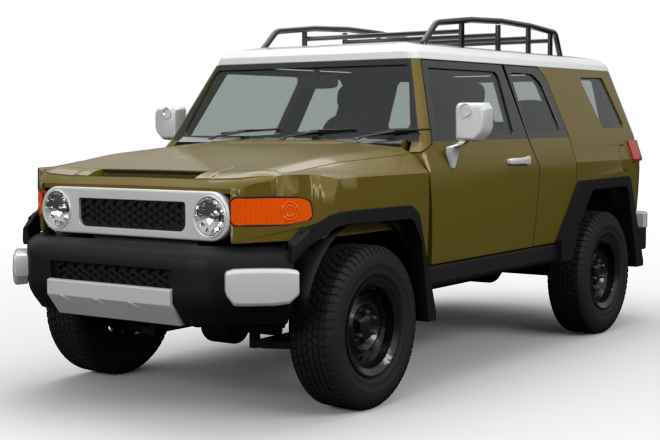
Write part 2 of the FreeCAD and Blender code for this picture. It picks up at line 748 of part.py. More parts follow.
def make_bumpers():
    """Build the black bumpers with their silver plates and corner guards."""
    face = front_end + size.guard_thickness
    low = axle_z + size.bumper_rise
    high = low + size.bumper_height

    ring = [(-848, front_axle - 545), (-842, front_axle - 567, 20), (-556, face, 90), (556, face, 90),
            (842, front_axle - 567, 20), (848, front_axle - 545), (770, front_axle - 545),
            (560, face + 152, 40), (-560, face + 152, 40), (-770, front_axle - 545)]
    bumper = Piece("bumper")
    bumper.pad("XY", low, high, ring)
    bumper.soften("Fillet", 34, lambda edge: edge.BoundBox.ZMin > number(high) - 0.1
                  and edge.BoundBox.YMax < number(face) + 90 and edge.BoundBox.YMin < number(face) + 80)
    lower_wide = size.lower_mesh_width / 2
    lower_low = axle_z + 228
    bumper.pocket("XZ", face - 40, face + 200, (
        (-lower_wide, lower_low), (lower_wide, lower_low), (lower_wide, lower_low + size.lower_mesh_height),
        (-lower_wide, lower_low + size.lower_mesh_height)))
    skid_wide = size.skid_width / 2
    bumper.pocket("YZ", -skid_wide, skid_wide, (
        (face - 60, axle_z + 170), (face, axle_z + 170), (face + 82, axle_z + 66), (face + 82, axle_z + 40),
        (face - 60, axle_z + 40)))
    keep("front_bumper", bumper.body)

    guard_low = axle_z + 173
    thick = size.guard_thickness
    front_guard = Piece("front_guard")
    front_guard.pad("XY", guard_low, guard_low + size.guard_height, [
        (640, face + 74), (652, face + 26, 10), (676, face + 14, 12), (900, front_axle - 590, 24),
        (906, front_axle - 545), (800, front_axle - 545)])
    front_guard.soften("Fillet", 8, lambda edge: edge.BoundBox.ZLength < 1 and edge.BoundBox.YMin < number(face) + 20)
    seated_guard = cut("front_guard_seated", front_guard.body, bumper.body)

    skid = Piece("skid_plate")
    skid.pad("YZ", -skid_wide, skid_wide, (
        (face, axle_z + 238), (face - thick, axle_z + 232), (face - thick, axle_z + 162),
        (face + 54, axle_z + 62), (face + 82, axle_z + 66), (face, axle_z + 170)))
    keep("skid_plate", skid.body)

    rear_face = rear_end - size.tyre_width - 34
    rear_low = axle_z + 95
    rear = Piece("rear_bumper")
    rear.pad("XY", rear_low, rear_low + 150, [
        (-905, rear_axle + 600), (-905, rear_axle + 700, 60), (-850, rear_face - 6, 90), (-620, rear_face),
        (620, rear_face), (850, rear_face - 6, 90), (905, rear_axle + 700, 60), (905, rear_axle + 600),
        (820, rear_axle + 600), (800, rear_face - 130, 60), (620, rear_face - 120), (-620, rear_face - 120),
        (-800, rear_face - 130, 60), (-820, rear_axle + 600)])
    keep("rear_bumper", rear.body)
    rear_guard = Piece("rear_guard")
    rear_guard.pad("XY", rear_low + 150, rear_low + 245, [
        (650, rear_face + 2), (852, rear_face - 2, 80), (912, rear_axle + 705, 60), (912, rear_axle + 640),
        (780, rear_axle + 640), (650, rear_face - 60)])
    guards = group("guards_left", seated_guard, cut("rear_guard_seated", rear_guard.body, outer_skin))
    keep("bumper_guards", both_sides("guard_pairs", guards))


def make_cladding():
    """Build the wheel-arch flares with their flaps and the sill cladding."""
    inner = half_width - 46
    pieces = []
    for name, outline in (("front_flare", front_flare_outline()), ("rear_flare", rear_flare_outline())):
        flare = Piece(name)
        flare.pad("YZ", inner, outer_face_x, outline)
        pieces.append(cut(f"{name}_tapered", flare.body, prism(f"{name}_taper", "XY", axle_z + 300, axle_z + 700, (
            (outer_face_x + 1, front_axle - 300), (outer_face_x + 60, front_axle - 300),
            (outer_face_x + 60, front_axle - 720), (820, front_axle - 720), (half_width - 44, front_axle - 560)))))
    sill = prism("sill_cladding_bar", "XZ", front_axle + 360, rear_axle - 700, (
        (half_width - 100, sill_z + 6), (half_width - 4, sill_z), (half_width + 4, sill_z + 20),
        (half_width - 4, sill_z + size.cladding_height - 12), (half_width - 22, sill_z + size.cladding_height),
        (half_width - 100, sill_z + size.cladding_height)))
    sill_bar = cut("sill_cladding", sill, side_prism("front_arch_for_sill", front_arch_outline()),
                   side_prism("rear_arch_for_sill", rear_arch_outline()))
    keep("side_cladding", both_sides("cladding_pieces", group("cladding_left", *pieces, sill_bar)))


def make_body():
    """Build the floor, pillars, windscreen frame, quarter panels and roof."""
    floor = Piece("floor")
    plate_low = sill_z + 70
    floor.pad("XY", plate_low, plate_low + 22, (
        (100 - half_width, hood_end_y + 10), (half_width - 100, hood_end_y + 10),
        (half_width - 100, rear_axle - 500), (100 - half_width, rear_axle - 500)))
    floor.pad("XY", plate_low + 150, plate_low + 172, (
        (-602, rear_axle - 522), (602, rear_axle - 522), (602, body_tail_y - 152), (-602, body_tail_y - 152)))
    floor.pad("XY", plate_low, plate_low + 172, (
        (-780, rear_axle - 522), (780, rear_axle - 522), (780, rear_axle - 500), (-780, rear_axle - 500)))
    floor.pad("XZ", hood_end_y + 10, hood_end_y + 32, (
        (-780, plate_low), (780, plate_low), (780, belt_z - 58), (-780, belt_z - 58)))
    house = size.tyre_radius + 140
    liners = []
    for name, side in (("wheelhouse_left", 1), ("wheelhouse_right", -1)):
        inward = 600 * side
        outward = (half_width - size.door_thickness - 26) * side
        near, away = (inward, outward) if side > 0 else (outward, inward)
        shell = Piece(name)
        shell.pad("YZ", near, away, (
            (rear_axle - house, plate_low + 20), (rear_axle - house, axle_z + 330, 150),
            (rear_axle - house + 160, axle_z + house, 150), (rear_axle + 300, axle_z + house, 130),
            (rear_axle + 430, axle_z + 330, 130), (rear_axle + 430, plate_low + 20)))
        thick = 14
        hollow_near, hollow_away = (near + thick, away + 5) if side > 0 else (near - 5, away - thick)
        house_in = house - thick
        shell.pocket("YZ", hollow_near, hollow_away, (
            (rear_axle - house_in, plate_low), (rear_axle - house_in, axle_z + 330, 140),
            (rear_axle - house_in + 155, axle_z + house_in, 140), (rear_axle + 294, axle_z + house_in, 120),
            (rear_axle + 416, axle_z + 330, 120), (rear_axle + 416, plate_low)))
        liners.append(shell.body)
    pillar_x = half_width - size.sill_inset - size.door_thickness - 8
    pillar = prism("hinge_pillar", "XY", plate_low, crease_z - 10, (
        (700, hood_end_y + 10), (pillar_x, hood_end_y + 10), (pillar_x, hood_end_y + 90), (750, hood_end_y + 90)))
    pad_x = half_width - size.sill_inset - size.door_thickness
    hinge_pad = box("hinge_pad", (760, pad_x + 11), (hood_end_y + 20, hood_end_y + 90), (axle_z + 460, axle_z + 490))
    pillar = fuse("hinge_post", pillar, hinge_pad)
    load_panel = box("load_panel", (-560, 560.0), (rear_axle + 160, rear_axle + 640),
                     (plate_low + 168, plate_low + 178))
    keep("floor_tub", fuse("floor_whole", floor.body, *liners, load_panel, pillar, mirrored("hinge_post_right", pillar)))

    rear_door_edge = rear_door_outline(gap, 0)
    window_top = eaves_z - 30
    screen_outline = (
        (-772, belt_z + 26, 30), (772, belt_z + 26, 30), (652, window_top, 40), (-652, window_top, 40))
    screen_cut = prism("screen_opening", "XZ", hood_end_y - 60, screen_head_y + 60, screen_outline)
    door_edge = front_door_outline(gap, 0)
    frame_side = prism("screen_frame_side", "YZ", -far, far * 1.0, [
        (hood_end_y + 4, belt_z - 50), door_edge[2], door_edge[3], (door_edge[4][0], eaves_z),
        (hood_end_y + 4, eaves_z)])
    cowl = Piece("cowl")
    cowl.pad("YZ", -752, 752.0, (
        (hood_end_y + 6, belt_z - 58), (hood_end_y + 6, belt_z - 8), (screen_foot_y - 6, belt_z + 20),
        (screen_foot_y + 40, belt_z + 20), (screen_foot_y + 40, belt_z - 58)))
    for across in (-520, 440):
        cowl.pad("YZ", across, across + 80.0, (
            (hood_end_y - gap + 0.2, belt_z - 18), (hood_end_y + 20, belt_z - 18), (hood_end_y + 20, belt_z - 10),
            (hood_end_y - gap + 0.2, belt_z - 10)))
    screen_frame = fuse("screen_frame_whole", cut(
        "screen_frame", common("screen_frame_skin", wall, frame_side), screen_cut), cowl.body)
    keep("windscreen_frame", screen_frame)

    quarter_side = side_prism("quarter_side", [
        (rear_axle - 724 + gap, door_bottom_z), rear_door_edge[-2], rear_door_edge[-3], rear_door_edge[-4],
        rear_door_edge[-5], (rear_door_edge[-6][0], eaves_z), (body_tail_y + 50, eaves_z), (body_tail_y + 50, axle_z + 248), (rear_axle + 500, axle_z + 248)])
    tail_wide = 640
    tail_opening = prism("tail_opening", "XZ", body_tail_y - 400, body_tail_y + 60, (
        (-tail_wide - gap, axle_z + 300 - gap), (tail_wide + gap, axle_z + 300 - gap),
        (tail_wide - 10 + gap, belt_z + 20), (tail_wide - 60 + gap, eaves_z + 10), (60 - tail_wide - gap, eaves_z + 10),
        (10 - tail_wide - gap, belt_z + 20)))
    window = side_prism("quarter_window_opening", QUARTER_WINDOW)
    lamp = box("tail_lamp_space", (half_width - 150, outer_face_x), (rear_axle + 418, body_tail_y),
               (axle_z + 700, axle_z + 836))
    lid = prism("fuel_lid_space", "YZ", half_width - 60, outer_face_x, (
        (rear_axle + 249, axle_z + 640, 50), (rear_axle + 381, axle_z + 640, 50),
        (rear_axle + 381, axle_z + 810, 50), (rear_axle + 249, axle_z + 810, 50)))
    arch = side_prism("rear_arch", rear_arch_outline())
    quarter = cut("quarter_left", common("quarter_skin", wall, quarter_side), tail_opening, window, arch, lamp)
    inner_x = half_width - size.door_thickness
    rear_pad = fuse("rear_hinge_pad",
                    box("rear_hinge_rest", (inner_x - 30, inner_x - 0.7), (rear_axle - 505, rear_axle - 400),
                        (crease_z - 12, crease_z)),
                    box("rear_hinge_foot", (inner_x - 30, inner_x + 12), (rear_axle - 436, rear_axle - 400),
                        (crease_z - 12, crease_z)))
    tail_in = body_tail_y - size.door_thickness
    tail_pad = box("tail_hinge_rest", (624, 700.0), (tail_in - 60, tail_in - 27), (crease_z - 12, crease_z))
    quarter = fuse("quarter_with_pads", quarter, rear_pad, tail_pad)
    right_quarter = mirrored("quarter_right", quarter)
    bowl = box("filler_bowl", (half_width - 80, half_width - 52), (rear_axle + 243, rear_axle + 387),
               (axle_z + 634, axle_z + 816))
    bowl_rest = box("filler_rest", (half_width - 60, half_width - 12.3), (rear_axle + 263, rear_axle + 273),
                    (crease_z - 6, crease_z))
    left_quarter = fuse("quarter_left_with_bowl", cut("quarter_left_with_filler", quarter, lid), bowl, bowl_rest)
    keep("quarter_panels", group("quarter_pair", left_quarter, right_quarter))
    keep("fuel_lid", common("fuel_door", cut("fuel_door_layer", outer_skin, cabin_form(
        "fuel_door_inner", 12, 12, 12)), prism("fuel_lid_outline", "YZ", half_width - 60, outer_face_x, (
            (rear_axle + 249 + gap, axle_z + 640 + gap, 46), (rear_axle + 381 - gap, axle_z + 640 + gap, 46),
            (rear_axle + 381 - gap, axle_z + 810 - gap, 46), (rear_axle + 249 + gap, axle_z + 810 - gap, 46)))))
    keep("tail_lamps", both_sides("tail_lamp_pair", common(
        "tail_lamp", cut("tail_lamp_layer", cabin_form("tail_lamp_outer", -14, -10, -10), wall_inside), lamp)))

    screen = common("screen_pane", pane, screen_cut)
    side_pane = common("quarter_pane", pane, window)
    keep("fixed_glass", group("fixed_panes", screen, side_pane, mirrored("quarter_pane_right", side_pane)))

    roof = cut("roof_shell", roof_form("roof_outer", 0, 0), roof_form("roof_inner", size.roof_thickness, size.roof_cap_thickness))
    keep("roof", roof)

    tail = prism("tailgate_space", "XZ", body_tail_y - 400, body_tail_y + 60, (
        (-tail_wide, axle_z + 300), (tail_wide, axle_z + 300), (tail_wide - 10, belt_z + 20),
        (tail_wide - 60, eaves_z - gap), (60 - tail_wide, eaves_z - gap), (10 - tail_wide, belt_z + 20)))
    tail_window = prism("tail_window", "XZ", body_tail_y - 400, body_tail_y + 60, (
        (-550, belt_z + 60, 30), (550, belt_z + 60, 30), (510, eaves_z - 50, 30), (-510, eaves_z - 50, 30)))
    gate = cut("tailgate_panel", common("tailgate_skin", wall, tail), tail_window)
    spare_z = axle_z + size.spare_rise
    carrier = cylinder("spare_carrier", 88, rear_end - size.tyre_width / 2 + 33.7 - body_tail_y + 30,
                       (0, body_tail_y - 30, spare_z), Vector(0, 1, 0))
    keep("tailgate", fuse("tailgate_whole", gate, carrier))
    keep("tailgate_glass", common("tailgate_pane", pane, tail_window))


def make_doors():
    """Build the front doors and the rear-hinged access doors, each with its glass."""
    hinge_side = 14
    front_outer = front_door_outline(0, 0)
    front_inner = front_door_outline(0, -hinge_side)
    front = common("front_door_skin", wall, tapered_prism("front_door_space", front_outer, front_inner))
    window = side_prism("front_window_opening", FRONT_WINDOW)
    front_door = cut("front_door", front, window)
    front_pane = common("front_pane", pane, window)
    rear_outer = rear_door_outline(0, gap)
    rear_inner = rear_door_outline(0, gap + 34)
    rear = common("rear_door_skin", wall, tapered_prism("rear_door_space", rear_outer, rear_inner))
    rear_window = side_prism("rear_window_opening", REAR_WINDOW)
    rear_door = cut("rear_door", rear, rear_window)
    rear_pane = common("rear_pane", pane, rear_window)
    fittings = group("door_fittings", *make_mirror_and_handle())
    for node, shape in (("front_door", front_door), ("front_door_glass", front_pane),
                        ("front_door_fittings", fittings), ("rear_door", rear_door), ("rear_door_glass", rear_pane)):
        keep(node + "_left", shape)
        keep(node + "_right", mirrored(node + "_mirrored", shape))


def make_mirror_and_handle():
    """Build the silver mirror housing on its arm and the door's pull handle."""
    low = belt_z - 3
    near_x = half_width + 22
    mirror = Piece("mirror")
    mirror.pad("XZ", front_axle + 696, front_axle + 786, (
        (near_x, low, 25), (near_x + size.mirror_width, low + 6, 35),
        (near_x + size.mirror_width - 6, low + size.mirror_height, 35), (near_x, low + size.mirror_height, 35)))
    mirror.soften("Fillet", 22, lambda edge: edge.BoundBox.YMax < number(front_axle) + 697)
    arm = Piece("mirror_arm")
    arm.pad("XZ", front_axle + 730, front_axle + 790, (
        (half_width - 8, belt_z - 140), (half_width + 12, belt_z - 140), (half_width + 70, belt_z - 20),
        (half_width + 70, belt_z), (half_width + 26, belt_z), (half_width - 8, belt_z - 90)))
    handle = Piece("handle")
    handle.pad("XY", crease_z + 16, crease_z + 48, (
        (half_width - 9, front_axle + 1345), (half_width + 26, front_axle + 1352, 12),
        (half_width + 26, front_axle + 1500, 12), (half_width - 9, front_axle + 1510),
        (half_width - 9, front_axle + 1488), (half_width + 10, front_axle + 1484, 8),
        (half_width + 10, front_axle + 1372, 8), (half_width - 9, front_axle + 1366)))
    return (cut("mirror_seated", fuse("mirror_whole", mirror.body, arm.body), outer_skin),
            cut("handle_seated", handle.body, outer_skin))


def make_wheels():
    """Build four road wheels and the spare on the tailgate."""
    wide = size.tyre_width / 2
    seat = size.rim_width / 2
    outer = size.tyre_radius
    bead = size.bead_radius
    tyre_profile = (
        (seat - 6, bead), (seat, bead + 22), (wide - 8, bead + 62), (wide, bead + 92), (wide, outer - 62),
        (wide - 10, outer - 30), (wide - 36, outer - 3), (0, outer), (36 - wide, outer - 3), (10 - wide, outer - 30),
        (-wide, outer - 62), (-wide, bead + 92), (8 - wide, bead + 62), (-seat, bead + 22), (6 - seat, bead),
        (26 - seat, bead + 2), (30 - wide, bead + 80), (34 - wide, outer - 40), (wide - 34, outer - 40),
        (wide - 30, bead + 80), (seat - 26, bead + 2))
    barrel = bead - 0.3
    lip = size.rim_lip_radius
    disc_x = seat - 64
    rim_profile = (
        (seat + 8, lip - 10), (seat + 8, lip), (seat + 2, lip), (seat - 1, barrel), (40, barrel),
        (20, barrel - 26), (-40, barrel - 26), (-60, barrel), (1 - seat, barrel), (-seat - 2, lip),
        (-seat - 8, lip), (-seat - 8, barrel - 16), (-66, barrel - 16), (-46, barrel - 36), (24, barrel - 36),
        (disc_x - 36, barrel - 46), (disc_x - 10, 130), (disc_x + 10, 114), (disc_x - 8, 92), (disc_x - 8, 56),
        (disc_x, 56), (disc_x, 88), (disc_x + 20, 110), (disc_x + 20, 118), (disc_x, 136),
        (disc_x - 24, barrel - 30), (44, barrel - 16), (seat - 10, barrel - 18))
    tyre = Piece("road_tyre")
    tyre.turned("Revolution", "XZ", 0, tyre_profile, True)
    rim = Piece("steel_rim")
    rim.turned("Revolution", "XZ", 0, rim_profile, True)
    vents = rim.pocket("YZ", disc_x - 60, disc_x + 40, circles=((0, 156, size.vent_radius),))
    rim.around(vents, size.vent_count, "X_Axis")
    nut = rim.pad("YZ", disc_x - 8, disc_x + 16, circles=((0, size.stud_circle_radius, 12),))
    rim.around(nut, size.lug_count, "X_Axis")
    spare_place = (0, rear_end - size.tyre_width / 2, axle_z + size.spare_rise)
    for spot, place, turn in (
            ("front_left", (wheel_x, front_axle, axle_z), 0), ("front_right", (-wheel_x, front_axle, axle_z), 180),
            ("rear_left", (wheel_x, rear_axle, axle_z), 0), ("rear_right", (-wheel_x, rear_axle, axle_z), 180),
            ("spare", spare_place, 90)):
        for kind, piece in (("tyre", tyre), ("rim", rim)):
            wheel = group(f"{kind}_{spot}_copy", piece.body)
            wheel.Placement = FreeCAD.Placement(Vector(), Rotation(Vector(0, 0, 1), turn))
            keep(f"{kind}_{spot}", wheel, place)


def make_chassis():
    """Build the ladder frame, axles, suspension and drive line."""
    rails = []
    rail_front = front_end + size.guard_thickness + 152.3
    rail_back = rear_end - size.tyre_width - 154.3
    side_profile = (
        (rail_front, axle_z + 90), (front_axle + 560, axle_z + 90, 60), (front_axle + 720, axle_z + 30, 60),
        (rear_axle - 620, axle_z + 30, 60), (rear_axle - 420, axle_z + 130, 60), (rear_axle + 420, axle_z + 130, 60),
        (rear_axle + 560, axle_z + 80, 60), (rail_back, axle_z + 80), (rail_back, axle_z + 80 + size.rail_height),
        (rear_axle + 560, axle_z + 80 + size.rail_height, 60), (rear_axle + 420, axle_z + 130 + size.rail_height - 20, 60),
        (rear_axle - 420, axle_z + 130 + size.rail_height - 20, 60), (rear_axle - 620, axle_z + 30 + size.rail_height, 60),
        (front_axle + 720, axle_z + 30 + size.rail_height, 60), (front_axle + 560, axle_z + 90 + size.rail_height, 60),
        (rail_front, axle_z + 90 + size.rail_height))
    rail_in = size.rail_spread / 2 - size.rail_width / 2
    rail_out = size.rail_spread / 2 + size.rail_width / 2
    for name, low, high in (("rail_left", rail_in, rail_out), ("rail_right", -rail_out, -rail_in)):
        rails.append(prism(name, "YZ", low, high, side_profile))
    for index, (along, up) in enumerate((
            (rail_front + 20, axle_z + 110), (front_axle - 420, axle_z + 105), (front_axle + 1100, axle_z + 40),
            (rear_axle - 640, axle_z + 90), (rear_axle + 340, axle_z + 160), (rail_back - 80, axle_z + 100))):
        rails.append(box(f"cross_member_{index}", (-rail_in - 5, rail_in + 5), (along, along + 60), (up, up + 45)))
    for side in (-1, 1):
        near, away = sorted((side * 310.0, side * 344.7))
        for step in (-190, 150):
            rails.append(box(f"arm_bracket_{side + 1}_{step + 190}", (near, away),
                             (front_axle + step, front_axle + step + 40), (axle_z - 125, axle_z + 95)))
        near, away = sorted((side * 336.0, side * 404.7))
        rails.append(box(f"strut_tower_{side + 1}", (near, away), (front_axle - 140, front_axle + 140),
                         (axle_z + 190, axle_z + 298)))
        near, away = sorted((side * 336.0, side * 540.0))
        rails.append(box(f"strut_seat_{side + 1}", (near, away), (front_axle - 62, front_axle + 62),
                         (axle_z + 276.3, axle_z + 298)))
    for side in (-1, 1):
        near, away = sorted((side * 250.0, side * 340.0))
        rails.append(box(f"engine_mount_{side + 1}", (near, away), (front_axle + 230, front_axle + 300),
                         (axle_z + 110, axle_z + 180)))
        near, away = sorted((side * 400.0, side * 570.0))
        rails.append(box(f"spring_seat_{side + 1}", (near, away), (rear_axle - 60, rear_axle + 60),
                         (axle_z + 185, axle_z + 205)))
        for index, along in enumerate((front_axle + 900, rear_axle - 700)):
            rails.append(cylinder(f"body_mount_{side + 1}_{index}", 30, sill_z + 70 - axle_z - 120,
                                  (side * 370.0, along, axle_z + 120)))
    keep("frame", fuse("frame_whole", *rails))

    engine = prism("engine_drum", "YZ", -250, 250.0, (
        (front_axle - 300, axle_z + 190), (front_axle - 60, axle_z + 42), (front_axle + 120, axle_z + 42),
        (front_axle + 200, axle_z + 100), (front_axle + 430, axle_z + 100), (front_axle + 430, axle_z + 560),
        (front_axle + 300, axle_z + 690), (front_axle - 300, axle_z + 640)))
    keep("engine_block", engine)
    keep("radiator", box("radiator_core", (-rail_in, rail_in), (nose_y + 82, nose_y + 136), (axle_z + 160, axle_z + 600)))

    gearbox = prism("gearbox", "YZ", -130, 130.0, (
        (front_axle + 430, axle_z + 96), (front_axle + 1170, axle_z + 96), (front_axle + 1185, axle_z + 5),
        (front_axle + 1250, axle_z + 5), (front_axle + 1250, axle_z + 190), (front_axle + 430, axle_z + 190)))
    shaft = cylinder("rear_shaft", 34, rear_axle - front_axle - 1250 - 120.3, (0, front_axle + 1250, axle_z + 50), Vector(0, 1, 0))
    keep("driveline", fuse("driveline_whole", gearbox, shaft))

    axle = Piece("rear_axle_beam")
    inner = size.track / 2 + 33.7
    axle.turned("Revolution", "XZ", 0, (
        (-inner, 0), (-inner, 76), (-inner + 60, 76), (-inner + 70, 44), (-170, 44), (-110, 120, 60), (110, 120, 60), (170, 44),
        (inner - 70, 44), (inner - 60, 76), (inner, 76), (inner, 0)), True)
    keep("rear_axle_beam", axle.body, (0, rear_axle, axle_z))
    beam = nodes.pop("rear_axle_beam")
    springs = []
    for side in (-1, 1):
        low_x = side * 500.0
        springs.append(cylinder(f"rear_spring_{side + 1}", 56, 165, (low_x, rear_axle, axle_z + 20)))
    keep("rear_axle", fuse("rear_axle_set", beam, *springs))

    arms = []
    for side in (-1, 1):
        reach = prism(f"lower_arm_{side + 1}", "XY", axle_z - 120, axle_z - 84, (
            (side * 345.0, front_axle - 190), (side * 345.0, front_axle + 190), (side * 400.0, front_axle + 190, 20),
            (side * 742.0, front_axle + 40, 30), (side * 742.0, front_axle - 40, 30), (side * 400.0, front_axle - 190, 20)))
        upper = prism(f"upper_arm_{side + 1}", "XY", axle_z + 236.3, axle_z + 260, (
            (side * 405.0, front_axle - 135), (side * 440.0, front_axle - 135), (side * 646.0, front_axle - 20),
            (side * 646.0, front_axle + 20), (side * 440.0, front_axle + 135), (side * 405.0, front_axle + 135),
            (side * 405.0, front_axle + 76), (side * 545.0, front_axle + 62), (side * 545.0, front_axle - 62),
            (side * 405.0, front_axle - 76)))
        strut = cylinder(f"strut_{side + 1}", 58, 360, (side * 480.0, front_axle, axle_z - 84))
        arms.extend((reach, upper, strut))
    case = Piece("front_differential")
    case.turned("Revolution", "XZ", 0, (
        (-344.8, 0), (-344.8, 30), (-120, 30), (-90, 95, 40), (90, 95, 40), (120, 30), (344.8, 30), (344.8, 0)), True)
    keep("front_case", case.body, (0, front_axle, axle_z - 60))
    arms.append(nodes.pop("front_case"))
    keep("front_suspension", group("front_suspension_set", *arms))

    kingpin_x = wheel_x - 72.5
    for name, side in (("knuckle_left", 1), ("knuckle_right", -1)):
        post = Piece(name + "_body")
        post.pad("XZ", -28, 28.0, (
            (side * -90.0, 236), (side * -58.0, 236), (side * -58.0, 75), (side * 22.0, 75), (side * 22.0, -83.7),
            (side * -18.0, -83.7), (side * -18.0, 35), (side * -90.0, 35)))
        low, high = (-24, 106.2) if side > 0 else (-106.2, 24.0)
        post.pad("YZ", low, high, circles=((0, 0, 76),))
        keep(name, post.body, (kingpin_x * side, front_axle, axle_z))

    muffler = cylinder("muffler", 80, 430, (-240, rear_axle - 570, axle_z + 10), Vector(0, 1, 0))
    hanger = box("exhaust_hanger", (-rail_in, -rail_in + 45), (rear_axle - 380, rear_axle - 350),
                 (axle_z + 20, axle_z + 170))
    keep("exhaust", fuse("exhaust_whole", muffler, hanger))
    tank = box("tank", (150, rail_in), (front_axle + 1330, rear_axle - 660), (axle_z - 20, axle_z + 160))
    keep("fuel_tank", tank)


def make_cabin():
    """Build the dash, seats and steering."""
    floor_z = sill_z + 92
    dash = Piece("dash")
    dash.pad("YZ", -695, 695.0, (
        (hood_end_y + 32.3, floor_z + 260), (hood_end_y + 260, floor_z + 250), (hood_end_y + 300, floor_z + 420, 40),
        (hood_end_y + 290, floor_z + 545, 40), (hood_end_y + 120, floor_z + 572, 40), (hood_end_y + 32.3, floor_z + 540)))
    keep("dashboard", dash.body)
    seats = []
    wide = size.seat_width / 2
    for name, middle in (("driver_seat", size.driver_offset), ("passenger_seat", -size.driver_offset)):
        seat = Piece(name)
        start = front_axle + 1120
        seat.pad("YZ", middle - wide, middle + wide, (
            (start, floor_z + 120), (start, floor_z + 270, 60), (start + 470, floor_z + 250, 60),
            (start + 620, floor_z + 800, 60), (start + 740, floor_z + 780, 60), (start + 610, floor_z + 120, 60)))
        seat.pad("YZ", middle - 130, middle + 130, (
            (start + 640, floor_z + 770), (start + 640, floor_z + 960, 40), (start + 740, floor_z + 960, 40),
            (start + 740, floor_z + 770)))
        seat.pad("XY", floor_z, floor_z + 122, (
            (middle - 200, start + 60), (middle + 200, start + 60), (middle + 200, start + 520), (middle - 200, start + 520)))
        seats.append(seat.body)
    keep("front_seats", group("front_seat_pair", *seats))
    bench = Piece("bench")
    bench_start = rear_axle - 500
    bench.pad("YZ", -590, 590.0, (
        (bench_start, floor_z + 150), (bench_start, floor_z + 320, 60), (bench_start + 440, floor_z + 300, 60),
        (bench_start + 560, floor_z + 800, 36), (bench_start + 660, floor_z + 790, 36), (bench_start + 560, floor_z + 150)))
    keep("rear_seat", bench.body)

    column = cylinder("column", 32, 226.8, (size.driver_offset, hood_end_y + 260.1, floor_z + 362.6),
                      Vector(0, 0.906, 0.423))
    keep("steering_column", cut("column_seated", column, dash.body))
    wheel = Piece("steering_ring")
    ring = size.steering_wheel_radius
    wheel.turned("Revolution", "XZ", 0, (
        (ring - 15, -5), (ring - 8, -11), (ring + 5, -11), (ring + 12, -5), (ring + 12, 8), (ring + 5, 14),
        (ring - 8, 14), (ring - 15, 8)), False)
    wheel.pad("XY", -8, 14, (
        (-ring + 6, -24), (ring - 6, -24), (ring - 6, 24), (60, 40), (22, 70), (22, ring - 6), (-22, ring - 6),
        (-22, 70), (-60, 40), (-ring + 6, 24)))
    wheel.pad("XY", -30, 20, circles=((0, 0, 72),))
    keep("steering_wheel", wheel.body)
    wheel.body.Placement = FreeCAD.Placement(Vector(), Rotation(Vector(0, 0, 1), Vector(0, 0.906, 0.423)))
    keep("steering_wheel", wheel.body, (
        size.driver_offset, hood_end_y + 292 + 190 * 0.906 + 28, floor_z + 380 + 190 * 0.423 + 13))


def make_rack():
    """Build the tubular roof rack and the wipers."""
    radius = size.rack_tube_radius
    side_x = size.rack_half_width
    top = eaves_z + 68 + size.rack_height
    rail = Piece("rack_rail")
    seat_z = eaves_z + 66
    rail.pipe("YZ", side_x, (
        (front_axle + 1032, seat_z), (front_axle + 1036, seat_z + 30, 30), (front_axle + 1174, top - 18, 90),
        (front_axle + 1560, top + 20, 200), (front_axle + 1935, top + 34, 200), (front_axle + 2325, top + 27, 150),
        (rear_axle - 10, top + 4, 60), (rear_axle + 64, seat_z + 30, 30), (rear_axle + 68, seat_z)), radius)
    parts = [rail.body, mirrored("rack_rail_right", rail.body)]
    low_z = top - 50
    for index, along in enumerate((front_axle + 1460, front_axle + 1900, front_axle + 2300, rear_axle - 80)):
        parts.append(cylinder(f"rack_bar_{index}", radius * 0.8, 2 * side_x, (-side_x, along, low_z), Vector(1, 0, 0)))
        for side in (-1, 1):
            parts.append(cylinder(f"rack_post_{index}_{side + 1}", radius * 0.9, top + 10 - seat_z,
                                  (side_x * side, along, seat_z)))
    keep("roof_rack", cut("rack_seated", fuse("rack_whole", *parts), roof_form("rack_rest", 0, 0)))
    wipers = []
    for index, across in enumerate((-560, 0, 470)):
        wipers.append(box(f"wiper_{index}", (across - 180.0, across + 200.0),
                          (screen_foot_y - 14, screen_foot_y - 2),
                          (belt_z + 20, belt_z + 34)))
    keep("wipers", group("wiper_set", *wipers))


make_nose()
make_grille()
make_bumpers()
make_cladding()
make_body()
make_doors()
make_wheels()
make_chassis()
make_cabin()
make_rack()
doc.recompute()

faults = [f"{item.Name}: {item.State}" for item in doc.Objects
          if "Invalid" in item.State or "Error" in item.State]
for node, item in nodes.items():
    if item.Shape.isNull() or not item.Shape.isValid() or not item.Shape.Solids:
        faults.append(f"{node}: no valid solid")
if faults:
    raise SystemExit("\n".join(faults))
os.makedirs("parts", exist_ok=True)
for node, item in nodes.items():
    item.Shape.exportStep(f"parts/{node}.step")
print(len(nodes), "sub-parts written")
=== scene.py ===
"""Looks of a lifted off-road 4x4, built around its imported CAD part.

The car stands on the ground at z = 0 with its nose towards -Y and its left side towards +X.
All lengths are in metres. Each class below builds one sub-assembly and lets it ride on its CAD body.
"""

import json
import logging
import math
from dataclasses import dataclass
from enum import Enum

import bmesh
import bpy
from mathutils import Matrix, Vector
from mathutils.bvhtree import BVHTree

